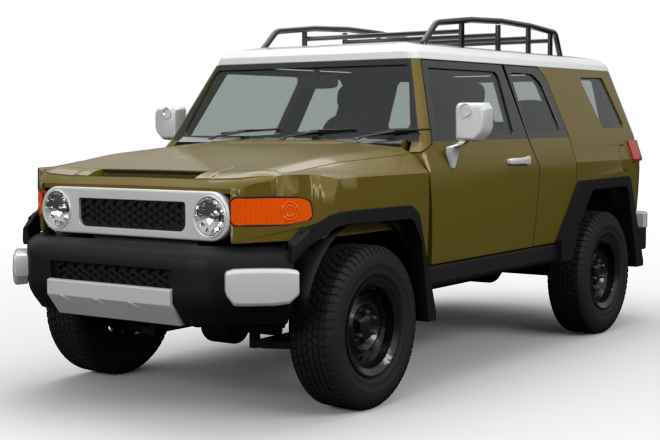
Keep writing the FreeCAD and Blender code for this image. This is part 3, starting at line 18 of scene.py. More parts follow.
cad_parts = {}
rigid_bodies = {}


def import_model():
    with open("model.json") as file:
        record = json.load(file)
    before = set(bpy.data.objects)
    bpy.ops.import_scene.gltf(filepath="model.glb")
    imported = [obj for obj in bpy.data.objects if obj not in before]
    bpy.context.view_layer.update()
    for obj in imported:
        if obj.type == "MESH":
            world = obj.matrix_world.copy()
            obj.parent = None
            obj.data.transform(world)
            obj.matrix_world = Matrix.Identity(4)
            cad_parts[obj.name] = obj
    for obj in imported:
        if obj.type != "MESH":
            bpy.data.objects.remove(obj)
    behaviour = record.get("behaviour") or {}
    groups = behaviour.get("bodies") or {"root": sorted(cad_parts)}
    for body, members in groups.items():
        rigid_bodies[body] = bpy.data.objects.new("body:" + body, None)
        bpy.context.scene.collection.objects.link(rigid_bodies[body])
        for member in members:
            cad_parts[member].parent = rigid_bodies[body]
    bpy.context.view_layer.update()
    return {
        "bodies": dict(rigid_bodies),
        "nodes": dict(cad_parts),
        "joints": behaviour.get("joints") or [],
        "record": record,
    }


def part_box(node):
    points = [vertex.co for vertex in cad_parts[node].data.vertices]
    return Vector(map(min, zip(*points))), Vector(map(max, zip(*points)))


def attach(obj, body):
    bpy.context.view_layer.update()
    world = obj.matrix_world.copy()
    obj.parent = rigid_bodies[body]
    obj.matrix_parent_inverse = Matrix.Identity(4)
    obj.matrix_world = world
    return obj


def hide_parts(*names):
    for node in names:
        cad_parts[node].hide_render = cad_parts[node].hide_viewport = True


LOG = logging.getLogger("scene")

Point = tuple[float, float, float]
Flat = tuple[float, float]
Shape = tuple[list, list]

SIDES = ((1, "left"), (-1, "right"))
WHEELS = ("front_left", "front_right", "rear_left", "rear_right", "spare")
FRONT_WHEEL_Y, REAR_WHEEL_Y, WHEEL_Z = -1.485, 1.206, 0.392
DOWN = Vector((0, 0, -1))
BACKWARDS = Vector((0, 1, 0))
AHEAD = -3.0  # where rays towards the nose start
QUARTER_TURN = Matrix.Rotation(math.radians(90), 4, "Z")
TUCK, TUCK_FROM, TUCK_OVER = 0.040, (0.60, -1.62), (0.15, 0.34)  # the front corners' rounding
WELD = 2e-5
FLAT_ANGLE = math.radians(0.6)
CREASE_ANGLE = math.radians(28)


class Role(Enum):
    """What a surface is made of."""

    OLIVE = "olive_paint"
    WHITE = "white_paint"
    SILVER = "silver_paint"
    BLACK = "black_paint"
    PLASTIC = "black_plastic"
    TRIM = "trim_plastic"
    STEEL = "chassis_steel"
    RAW = "raw_steel"
    CAST = "cast_metal"
    LENS = "lamp_lens"
    AMBER = "amber_lens"
    RED = "red_lens"
    GLASS = "window_glass"
    TYRE = "tyre_rubber"
    RUBBER = "wiper_rubber"
    FABRIC = "seat_fabric"
    CHROME = "lamp_reflector"
    # Near black for gaps and seals, and painted shade on the walls behind the grille meshes.
    DARK = "dark_gap_and_shade"


@dataclass(frozen=True)
class Finish:
    """The look of one surface.

    Attributes:
        color: Base colour, linear.
        metallic: Share of metal.
        roughness: Mean roughness.
        spread: How far roughness wanders from its mean.
        coat: Weight of the clear coat.
        grain: Height of the fine bumps, in metres.
        grain_scale: Bumps per metre.
        mottle: How far the colour wanders, as a share.
        shine: Level of the plain reflections.
    """

    color: tuple[float, float, float]
    metallic: float = 0.0
    roughness: float = 0.5
    spread: float = 0.05
    coat: float = 0.0
    grain: float = 0.0
    grain_scale: float = 400.0
    mottle: float = 0.03
    shine: float = 0.5


FINISHES = {
    Role.OLIVE: Finish((0.146, 0.104, 0.010), 0.20, 0.36, 0.04, 0.30, mottle=0.02, shine=0.3),
    Role.WHITE: Finish((0.80, 0.80, 0.79), 0.0, 0.32, 0.04, 0.8, mottle=0.01),
    Role.SILVER: Finish((0.74, 0.745, 0.75), 0.25, 0.34, 0.05, 0.3, mottle=0.02),
    Role.BLACK: Finish((0.006, 0.006, 0.0065), 0.0, 0.24, 0.04, 0.4),
    Role.PLASTIC: Finish((0.005, 0.005, 0.0054), 0.0, 0.54, 0.06, 0.0, 0.0003, 900.0, 0.08, 0.25),
    Role.TRIM: Finish((0.035, 0.034, 0.033), 0.0, 0.62, 0.05, 0.0, 0.0003, 700.0, 0.06),
    Role.STEEL: Finish((0.012, 0.012, 0.013), 0.1, 0.55, 0.08, 0.0, 0.0004, 260.0, 0.15),
    Role.RAW: Finish((0.16, 0.15, 0.14), 0.9, 0.42, 0.10, 0.0, 0.0002, 300.0, 0.15),
    Role.CAST: Finish((0.13, 0.13, 0.135), 0.8, 0.55, 0.08, 0.0, 0.0006, 240.0, 0.15),
    Role.AMBER: Finish((0.90, 0.105, 0.001), 0.0, 0.16, 0.03, 0.35),
    Role.RED: Finish((0.45, 0.006, 0.006), 0.0, 0.16, 0.03, 0.6),
    Role.TYRE: Finish((0.006, 0.006, 0.0063), 0.0, 0.74, 0.08, 0.0, 0.0004, 500.0, 0.12, 0.4),
    Role.RUBBER: Finish((0.008, 0.008, 0.008), 0.0, 0.6, 0.05, 0.0, 0.0, 400.0, 0.1),
    Role.CHROME: Finish((0.86, 0.86, 0.87), 1.0, 0.10, 0.02, 0.0),
    Role.DARK: Finish((0.004, 0.004, 0.004), 0.0, 0.8, 0.02),
    Role.FABRIC: Finish((0.022, 0.022, 0.024), 0.0, 0.9, 0.05, 0.0, 0.0010, 1100.0, 0.15),
}


class Socket:
    """A shader value that takes part in plain arithmetic."""

    def __init__(self, graph: "Graph", link: bpy.types.NodeSocket) -> None:
        """Wrap a node's output."""
        self.graph = graph
        self.link = link

    def _math(self, operation: str, other: "Socket | float", swapped: bool = False) -> "Socket":
        """Join this value and another by a Math node."""
        first, second = (other, self) if swapped else (self, other)
        return self.graph.node("Math", "Value", {0: first, 1: second}, operation=operation)

    def __add__(self, other: "Socket | float") -> "Socket":
        """Add."""
        return self._math("ADD", other)

    def __radd__(self, other: "Socket | float") -> "Socket":
        """Add from the left."""
        return self._math("ADD", other, True)

    def __sub__(self, other: "Socket | float") -> "Socket":
        """Subtract."""
        return self._math("SUBTRACT", other)

    def __rsub__(self, other: "Socket | float") -> "Socket":
        """Subtract from a value on the left."""
        return self._math("SUBTRACT", other, True)

    def __mul__(self, other: "Socket | float") -> "Socket":
        """Multiply."""
        return self._math("MULTIPLY", other)

    def __rmul__(self, other: "Socket | float") -> "Socket":
        """Multiply from the left."""
        return self._math("MULTIPLY", other, True)

    def clamped(self, low: float, high: float) -> "Socket":
        """Keep the value between two limits."""
        return self._math("MAXIMUM", low)._math("MINIMUM", high)


class Graph:
    """A material's or a world's node tree."""

    def __init__(self, tree: bpy.types.NodeTree) -> None:
        """Take over a tree and empty it."""
        self.tree = tree
        tree.nodes.clear()

    def node(self, kind: str, output: str, inputs: dict, **settings) -> Socket:
        """Add a shader node and return one of its outputs.

        Args:
            kind: Node type without its ShaderNode prefix.
            output: Name of the output socket.
            inputs: Values, colours or sockets by input name or index.
            **settings: Properties of the node itself; stops are a ramp's places and shades.

        Returns:
            The output, wrapped for arithmetic.
        """
        made = self.tree.nodes.new("ShaderNode" + kind)
        for key, value in settings.items():
            if key == "stops":
                self._set_stops(made.color_ramp, value)
            else:
                setattr(made, key, value)
        for key, value in inputs.items():
            if isinstance(value, Socket):
                self.tree.links.new(value.link, made.inputs[key])
            else:
                made.inputs[key].default_value = value
        return Socket(self, made.outputs[output])

    @staticmethod
    def _set_stops(ramp: bpy.types.ColorRamp, stops: tuple) -> None:
        """Give a ramp its grey stops, from the lowest up.

        Args:
            ramp: The ramp.
            stops: Places and shades.
        """
        for index, (position, shade) in enumerate(stops):
            element = ramp.elements[index] if index < 2 else ramp.elements.new(position)
            element.position, element.color = position, (shade, shade, shade, 1)

    def finish(self, shader: Socket, kind: str = "OutputMaterial") -> None:
        """Join a shader to the tree's output."""
        made = self.tree.nodes.new("ShaderNode" + kind)
        self.tree.links.new(shader.link, made.inputs["Surface"])


class Palette:
    """Makes each material once and hands it out by role."""

    def __init__(self) -> None:
        """Start without any material."""
        self.made = {}

    def get(self, role: Role) -> bpy.types.Material:
        """Look a role's material up, and build it the first time.

        Args:
            role: What the surface is made of.

        Returns:
            The material.
        """
        if role not in self.made:
            if role is Role.GLASS:
                self.made[role] = self._glass("window_glass", (0.74, 0.77, 0.76), 0.05)
            elif role is Role.LENS:
                self.made[role] = self._glass("lamp_lens", (0.97, 0.97, 0.97), 0.04)
            else:
                self.made[role] = self._solid(role.value, FINISHES[role])
        return self.made[role]

    @staticmethod
    def new(name: str) -> tuple[bpy.types.Material, Graph]:
        """Start an empty material.

        Args:
            name: The material's name.

        Returns:
            The material and its graph.
        """
        material = bpy.data.materials.new(name)
        material.use_nodes = True
        return material, Graph(material.node_tree)

    def _solid(self, name: str, finish: Finish) -> bpy.types.Material:
        """Build an opaque finish with wandering colour, roughness and fine grain.

        Args:
            name: The material's name.
            finish: How it looks.

        Returns:
            The material.
        """
        material, graph = self.new(name)
        place = graph.node("TexCoord", "Object", {})
        slow = graph.node("TexNoise", "Fac", {"Vector": place, "Scale": 3.0, "Detail": 4.0})
        quick = graph.node("TexNoise", "Fac", {"Vector": place, "Scale": 55.0, "Detail": 3.0})
        wander = (slow - 0.5) * (2 * finish.mottle) + (quick - 0.5) * finish.mottle + 1.0
        color = graph.node("VectorMath", "Vector", {0: (*finish.color,), "Scale": wander},
                           operation="SCALE")
        roughness = ((slow - 0.5) * (2 * finish.spread) + finish.roughness).clamped(0.03, 1.0)
        inputs = {"Base Color": color, "Roughness": roughness, "Metallic": finish.metallic,
                  "Coat Weight": finish.coat, "Coat Roughness": 0.04,
                  "Specular IOR Level": finish.shine}
        if finish.grain:
            fine = graph.node("TexNoise", "Fac", {
                "Vector": place, "Scale": finish.grain_scale, "Detail": 2.0})
            inputs["Normal"] = graph.node("Bump", "Normal", {
                "Height": fine, "Distance": finish.grain, "Strength": 0.6})
        graph.finish(graph.node("BsdfPrincipled", "BSDF", inputs))
        return material

    def _glass(self, name: str, tint: Point, gloss: float) -> bpy.types.Material:
        """Build thin glass: clear straight through, with a mirror share that grows at grazing angles.

        Args:
            name: The material's name.
            tint: Colour of what shows through.
            gloss: Mirror share seen straight on.

        Returns:
            The material.
        """
        material, graph = self.new(name)
        through = graph.node("BsdfTransparent", "BSDF", {"Color": (*tint, 1.0)})
        mirror = graph.node("BsdfAnisotropic", "BSDF", {
            "Color": (0.95, 0.97, 0.97, 1.0), "Roughness": 0.02})
        facing = graph.node("LayerWeight", "Facing", {"Blend": 0.5})
        square = facing * facing
        share = (square * square * facing * 0.9 + gloss).clamped(0.0, 1.0)
        graph.finish(graph.node("MixShader", "Shader", {0: share, 1: through, 2: mirror}))
        return material


@dataclass(frozen=True)
class Studio:
    """Camera, light, ground and the white background.

    Attributes:
        eye: Where the camera stands.
        azimuth: How far the camera stands round to the left, in radians.
        tilt: How far it looks down.
        roll: How far it leans.
        focal: Focal length, in millimetres.
        stops: The sky's heights, from 0 below to 1 above, and shades.
        boxes: Name, place, aim, width, height and power of each soft box.
    """

    eye: Point = (4.27870068, -6.62040546, 1.36493389)
    azimuth: float = math.radians(35.1754)
    tilt: float = math.radians(4.3065)
    roll: float = math.radians(-0.28255)
    focal: float = 71.53
    stops: tuple = ((0.42, 0.01), (0.50, 0.02), (0.54, 0.20), (0.61, 0.48), (0.75, 0.50), (1.0, 0.72))
    boxes: tuple = (
        ("overhead", (-1.2, 1.0, 6.0), (0.0, 0.0, 0.5), 6.0, 8.0, 300.0),
        ("side", (7.0, -1.0, 4.4), (0.0, 0.0, 0.9), 7.0, 1.6, 270.0),
        ("front", (-0.5, -8.5, 3.4), (0.0, -1.0, 0.8), 6.0, 1.8, 210.0))

    def build(self) -> None:
        """Set up everything around the car."""
        self._camera()
        self._world()
        self._ground()
        self._lights()
        scene = bpy.context.scene
        scene.view_settings.view_transform = "Standard"
        scene.view_settings.look = "None"
        scene.render.film_transparent = False
        scene.cycles.max_bounces = 10
        scene.cycles.transparent_max_bounces = 16

    def _camera(self) -> None:
        """Stand the camera where the photo was taken from."""
        lens = bpy.data.cameras.new("camera")
        lens.lens = self.focal
        lens.sensor_width = 36.0
        lens.clip_end = 100.0
        camera = bpy.data.objects.new("camera", lens)
        bpy.context.scene.collection.objects.link(camera)
        sine, cosine = math.sin(self.azimuth), math.cos(self.azimuth)
        back = Vector((sine * math.cos(self.tilt), -cosine * math.cos(self.tilt), math.sin(self.tilt)))
        right = Vector((cosine, sine, 0))
        up = back.cross(right)
        turn_right = right * math.cos(self.roll) + up * math.sin(self.roll)
        turn_up = up * math.cos(self.roll) - right * math.sin(self.roll)
        rows = Matrix((turn_right, turn_up, back)).transposed()
        camera.matrix_world = Matrix.Translation(Vector(self.eye)) @ rows.to_4x4()
        bpy.context.scene.camera = camera

    def _world(self) -> None:
        """Light from above, dim from below, and plain white behind the car."""
        world = bpy.data.worlds.new("studio")
        bpy.context.scene.world = world
        world.use_nodes = True
        graph = Graph(world.node_tree)
        way = graph.node("TexCoord", "Generated", {})
        height = graph.node("SeparateXYZ", "Z", {0: way})
        level = graph.node("ValToRGB", "Color", {0: height * 0.5 + 0.5}, stops=self.stops)
        light = graph.node("Background", "Background", {"Color": level, "Strength": 1.0})
        white = graph.node("Background", "Background", {"Color": (1, 1, 1, 1), "Strength": 1.0})
        seen = graph.node("LightPath", "Is Camera Ray", {})
        through = graph.node("LightPath", "Is Transmission Ray", {})
        graph.finish(graph.node("MixShader", "Shader", {
            0: (seen + through).clamped(0.0, 1.0), 1: light, 2: white}), "OutputWorld")

    @staticmethod
    def _ground() -> None:
        """Lay down a plane that only takes the car's shadow."""
        mesh = bpy.data.meshes.new("ground")
        mesh.from_pydata([(-30, -30, 0), (30, -30, 0), (30, 30, 0), (-30, 30, 0)], [], [(0, 1, 2, 3)])
        ground = bpy.data.objects.new("ground", mesh)
        bpy.context.scene.collection.objects.link(ground)
        ground.is_shadow_catcher = True
        floor, graph = Palette.new("studio_floor")
        graph.finish(graph.node("BsdfDiffuse", "BSDF", {"Color": (0.04, 0.04, 0.04, 1)}))
        mesh.materials.append(floor)

    def _lights(self) -> None:
        """Hang the soft boxes overhead, by the left side and in front, and point them at their aims."""
        for name, place, aim, wide, tall, power in self.boxes:
            light = bpy.data.lights.new(name, "AREA")
            light.shape = "RECTANGLE"
            light.size, light.size_y, light.energy = wide, tall, power
            lamp = bpy.data.objects.new(name, light)
            bpy.context.scene.collection.objects.link(lamp)
            lamp.location = place
            lamp.rotation_euler = (Vector(aim) - Vector(place)).to_track_quat("-Z", "Y").to_euler()
            lamp.visible_camera = False


@dataclass(frozen=True)
class Edge:
    """How a copied panel's edges and surface are dressed.

    Attributes:
        round: Radius of the rounded edges, in metres.
        above: Height above which faces take the second finish, or None.
        swell: Whether the side below the crease swells outwards.
        tuck: Whether its front corner is pulled in.
    """

    round: float = 0.003
    above: float | None = None
    swell: bool = False
    tuck: bool = False


class Workshop:
    """Makes pieces, dresses them and lets them ride on their bodies."""

    SLOTS = {Role.CHROME: "lamp_lens", Role.DARK: "trim_plastic"}

    def __init__(self, frame: dict, palette: Palette) -> None:
        """Note the CAD nodes and the body that each belongs to."""
        self.nodes = frame["nodes"]
        self.palette = palette
        bodies = frame["record"]["behaviour"]["bodies"]
        self.bodies = {node: body for body, nodes in bodies.items() for node in nodes}

    def piece(self, name: str, mesh: bpy.types.Mesh, roles: list, body: str,
              replaced: tuple = ()) -> bpy.types.Object:
        """Turn a mesh into a piece that rides on a body.

        Args:
            name: The piece's name.
            mesh: Its mesh.
            roles: Finishes, in the order of the mesh's material indices.
            body: The CAD body that it moves with.
            replaced: CAD nodes that it stands for.

        Returns:
            The new object.
        """
        for role in roles:
            mesh.materials.append(self.palette.get(role))
        made = bpy.data.objects.new(name, mesh)
        bpy.context.scene.collection.objects.link(made)
        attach(made, body)
        if replaced:
            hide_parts(*replaced)
        self.SLOTS.get(roles[0], roles[0].value)
        LOG.info("%s rides on %s", name, body)
        return made

    def form(self, name: str, shape: Shape, role: Role, body: str = "chassis", *, replaced: tuple = (),
             edge: float = 40.0, round_by: float = 0.0, place: Matrix | None = None) -> bpy.types.Object:
        """Build a piece from points and faces.

        Args:
            name: The piece's name.
            shape: Points and faces.
            role: Its finish.
            body: The CAD body that it moves with.
            replaced: CAD nodes that it stands for.
            edge: Angle in degrees above which an edge stays sharp.
            round_by: Radius of rounded edges.
            place: Where the shape is set down.

        Returns:
            The new object.
        """
        mesh = bpy.data.meshes.new(name)
        points, faces = shape
        mesh.from_pydata([tuple(point) for point in points], [], faces)
        if place is not None:
            mesh.transform(place)
        tidy_normals(mesh)
        mesh.shade_smooth()
        mesh.set_sharp_from_angle(angle=math.radians(edge))
        made = self.piece(name, mesh, [role], body, replaced)
        if round_by:
            add_bevel(made, round_by)
        return made

    def tube(self, name: str, points: list, radius: float, role: Role,
             body: str = "chassis") -> bpy.types.Object:
        """Bend a round bar through points.

        Args:
            name: The piece's name.
            points: The bar's course.
            radius: The bar's radius.
            role: Its finish.
            body: The CAD body that it moves with.

        Returns:
            The new object.
        """
        curve = bpy.data.curves.new(name, "CURVE")
        curve.dimensions = "3D"
        curve.bevel_depth = radius
        curve.bevel_resolution = 3
        curve.use_fill_caps = True
        spline = curve.splines.new("POLY")
        spline.points.add(len(points) - 1)
        for target, point in zip(spline.points, points):
            target.co = (*point, 1.0)
        draft = bpy.data.objects.new(name + "_draft", curve)
        bpy.context.scene.collection.objects.link(draft)
        mesh = bpy.data.meshes.new_from_object(draft)
        bpy.data.objects.remove(draft)
        bpy.data.curves.remove(curve)
        mesh.name = name
        mesh.shade_smooth()
        mesh.set_sharp_from_angle(angle=math.radians(50))
        return self.piece(name, mesh, [role], body)

    def panel(self, node: str, roles: list, edge: Edge) -> bpy.types.Object:
        """Dress a copy of a CAD node: rounded edges, smooth faces, a second finish where asked.

        Args:
            node: The CAD node.
            roles: Its finishes.
            edge: How its edges and surface are dressed.

        Returns:
            The new object.
        """
        sheet = bmesh.new()
        sheet.from_mesh(self.nodes[node].data)
        bmesh.ops.remove_doubles(sheet, verts=sheet.verts, dist=WELD)
        if edge.swell:
            swell_sides(sheet)
        bmesh.ops.dissolve_limit(sheet, angle_limit=FLAT_ANGLE, verts=sheet.verts, edges=sheet.edges)
        if edge.tuck:
            open_nose(sheet, 0.598 if node == "fenders" else 0.0)
            for vertex in sheet.verts:
                vertex.co = tucked(vertex.co)
            nose = [face for face in sheet.faces if face.calc_center_median().y < TUCK_FROM[1]]
            bmesh.ops.triangulate(sheet, faces=nose, quad_method="BEAUTY", ngon_method="BEAUTY")
        for face in sheet.faces:
            face.smooth = True
            if len(roles) > 1:
                face.material_index = int(self.second(node, face, edge))
        mesh = bpy.data.meshes.new(node + "_dressed")
        sheet.to_mesh(mesh)
        sheet.free()
        mesh.set_sharp_from_angle(angle=CREASE_ANGLE)
        made = self.piece(node + "_dressed", mesh, roles, self.bodies[node], (node,))
        if edge.round:
            add_bevel(made, edge.round)
        return made

    @staticmethod
    def second(node: str, face: bmesh.types.BMFace, edge: Edge) -> bool:
        """Tell whether a face takes the second finish.

        Args:
            node: The CAD node that the face is part of.
            face: The face.
            edge: How the node is dressed.

        Returns:
            True for the wheelhouses, the cowl's corners, the pillars and what lies above the belt.
        """
        middle = face.calc_center_median()
        if node in ("fenders", "quarter_panels"):
            wheel = FRONT_WHEEL_Y if node == "fenders" else REAR_WHEEL_Y
            return math.hypot(middle.y - wheel, middle.z - WHEEL_Z) < 0.585 and abs(middle.x) < 0.878
        if edge.above is None:
            pillar = abs(face.normal.x) > 0.3 and abs(middle.x) > 0.55
            return pillar or (abs(middle.x) > 0.70 and middle.z < 1.27)
        return middle.z > edge.above

    def surface(self, *nodes: str) -> BVHTree:
        """Join CAD nodes into one tree that rays can be cast at.

        Args:
            *nodes: Names of the nodes.

        Returns:
            The tree.
        """
        points, faces = [], []
        for node in nodes:
            first = len(points)
            mesh = self.nodes[node].data
            points.extend(vertex.co.copy() for vertex in mesh.vertices)
            faces.extend([first + index for index in polygon.vertices] for polygon in mesh.polygons)
        return BVHTree.FromPolygons(points, faces)


def eased(share: float) -> float:
    """Ease a share between 0 and 1."""
    share = min(max(share, 0.0), 1.0)
    return share * share * (3 - 2 * share)


def tucked(point: Point) -> Vector:
    """Pull the front corners of the body in, where the wings round off towards the lamps.

    Args:
        point: A place on the body.

    Returns:
        The place after the pull.
    """
    x, y, z = point
    share = eased((abs(x) - TUCK_FROM[0]) / TUCK_OVER[0]) * eased((TUCK_FROM[1] - y) / TUCK_OVER[1])
    return Vector((x, y + TUCK * share, z))


def add_bevel(made: bpy.types.Object, width: float) -> None:
    """Round a piece's sharp edges.

    Args:
        made: The piece.
        width: Radius of the rounding.
    """
    bevel = made.modifiers.new("rounded", "BEVEL")
    bevel.width = width
    bevel.segments = 2
    bevel.limit_method = "ANGLE"
    bevel.angle_limit = CREASE_ANGLE
    bevel.harden_normals = True


def tidy_normals(mesh: bpy.types.Mesh) -> None:
    """Point all faces of a mesh outwards.

    Args:
        mesh: The mesh.
    """
    sheet = bmesh.new()
    sheet.from_mesh(mesh)
    bmesh.ops.recalc_face_normals(sheet, faces=sheet.faces)
    sheet.to_mesh(mesh)
    sheet.free()


def swell_sides(sheet: bmesh.types.BMesh) -> None:
    """Let a body side swell a little between the sill and the crease, as pressed steel does.

    Args:
        sheet: The panel.
    """
    low, high, most = 0.53, 1.107, 0.009
    for step in range(1, 10):
        height = low + (high - low) * step / 10
        geometry = sheet.verts[:] + sheet.edges[:] + sheet.faces[:]
        bmesh.ops.bisect_plane(sheet, geom=geometry, plane_co=(0, 0, height), plane_no=(0, 0, 1))
    for vertex in sheet.verts:
        share = (vertex.co.z - low) / (high - low)
        if 0 < share < 1:
            near = min(max((abs(vertex.co.x) - 0.74) / 0.12, 0.0), 1.0)
            vertex.co.x += math.copysign(most * 4 * share * (1 - share) * near, vertex.co.x)


def open_nose(sheet: bmesh.types.BMesh, half: float) -> None:
    """Cut lines across the front corners, and take away what would show behind the lamp surround.

    Args:
        sheet: The panel.
        half: Half the width that is taken away, or 0.
    """
    stations = (-2.10, -2.05, -2.0, -1.95, -1.90, -1.85, -1.80, -1.75, -1.69, -1.62)
    columns = (0.60, 0.63, 0.66, 0.69, 0.72, 0.75)
    cuts = [((0, along, 0), (0, 1, 0)) for along in stations]
    cuts += [((side * across, 0, 0), (1, 0, 0)) for across in columns for side in (-1, 1)]
    for place, normal in cuts:
        front = [face for face in sheet.faces if face.calc_center_median().y < -1.4]
        edges = {edge for face in front for edge in face.edges}
        corners = {vertex for face in front for vertex in face.verts}
        bmesh.ops.bisect_plane(sheet, geom=[*corners, *edges, *front], plane_co=place, plane_no=normal)
    if not half:
        return
    for side in (-half, half):
        geometry = sheet.verts[:] + sheet.edges[:] + sheet.faces[:]
        bmesh.ops.bisect_plane(sheet, geom=geometry, plane_co=(side, 0, 0), plane_no=(1, 0, 0))
    hidden = [face for face in sheet.faces
              if abs(face.calc_center_median().x) < half and face.calc_center_median().y < -2.0]
    bmesh.ops.delete(sheet, geom=hidden, context="FACES")


def turned(profile: list | tuple, count: int) -> Shape:
    """Revolve (along, radius) pairs about the X axis.

    Args:
        profile: The pairs.
        count: Steps round the axis.

    Returns:
        Points and faces.
    """
    points, faces = [], []
    size = len(profile)
    for step in range(count):
        angle = math.tau * step / count
        for along, radius in profile:
            points.append((along, radius * math.cos(angle), radius * math.sin(angle)))
    for step in range(count):
        here, after = step * size, (step + 1) % count * size
        for index in range(size - 1):
            faces.append((here + index, after + index, after + index + 1, here + index + 1))
    return points, faces


def merged(*shapes: Shape) -> Shape:
    """Join shapes into one.

    Args:
        *shapes: Points and faces of each.

    Returns:
        Points and faces of all.
    """
    points, faces = [], []
    for some, many in shapes:
        first = len(points)
        points.extend(some)
        faces.extend(tuple(first + index for index in face) for face in many)
    return points, faces


def flipped(side: int) -> Matrix:
    """Return the mirror image through the car's middle for the right side, and nothing for the left."""
    return Matrix.Scale(side, 4, (1, 0, 0)) if side < 0 else Matrix.Identity(4)


def moved(shape: Shape, matrix: Matrix) -> Shape:
    """Return a shape turned and shifted by a matrix."""
    points, faces = shape
    return [tuple(matrix @ Vector(point)) for point in points], faces


def lofted(rings: list, closed: bool = True, capped: bool = True) -> Shape:
    """Skin rings of equally many points.

    Args:
        rings: The rings, in order.
        closed: Whether each ring joins up with itself.
        capped: Whether the first and last rings are filled.

    Returns:
        Points and faces.
    """
    size = len(rings[0])
    points = [point for ring in rings for point in ring]
    faces = []
    for row in range(len(rings) - 1):
        for index in range(size if closed else size - 1):
            after = (index + 1) % size
            faces.append((row * size + index, row * size + after,
                          (row + 1) * size + after, (row + 1) * size + index))
    if capped:
        faces.append(tuple(reversed(range(size))))
        faces.append(tuple(range((len(rings) - 1) * size, len(rings) * size)))
    return points, faces


def block(low: Point, high: Point) -> Shape:
    """Return a box between two corners."""
    ring = [(low[0], low[1]), (high[0], low[1]), (high[0], high[1]), (low[0], high[1])]
    return lofted([[(x, y, low[2]) for x, y in ring], [(x, y, high[2]) for x, y in ring]])


def superform(low: Point, high: Point, power: float = 3.0, rows: int = 14, count: int = 28) -> Shape:
    """Shape a pillow-like form that fills a box.

    Args:
        low: The box's lower corner.
        high: Its upper corner.
        power: How square the form is; 2 is an ellipsoid.
        rows: Steps from bottom to top.
        count: Steps round.

    Returns:
        Points and faces.
    """
    middle = [(a + b) / 2 for a, b in zip(low, high)]
    half = [(b - a) / 2 for a, b in zip(low, high)]

    def bent(value: float) -> float:
        """Square a sine or cosine up."""
        return math.copysign(abs(value) ** (2 / power), value)

    rings = []
    for row in range(1, rows):
        tilt = math.pi * row / rows - math.pi / 2
        ring = []
        for step in range(count):
            angle = math.tau * step / count
            ring.append((middle[0] + half[0] * bent(math.cos(tilt)) * bent(math.cos(angle)),
                         middle[1] + half[1] * bent(math.cos(tilt)) * bent(math.sin(angle)),
                         middle[2] + half[2] * bent(math.sin(tilt))))
        rings.append(ring)
    return lofted(rings)


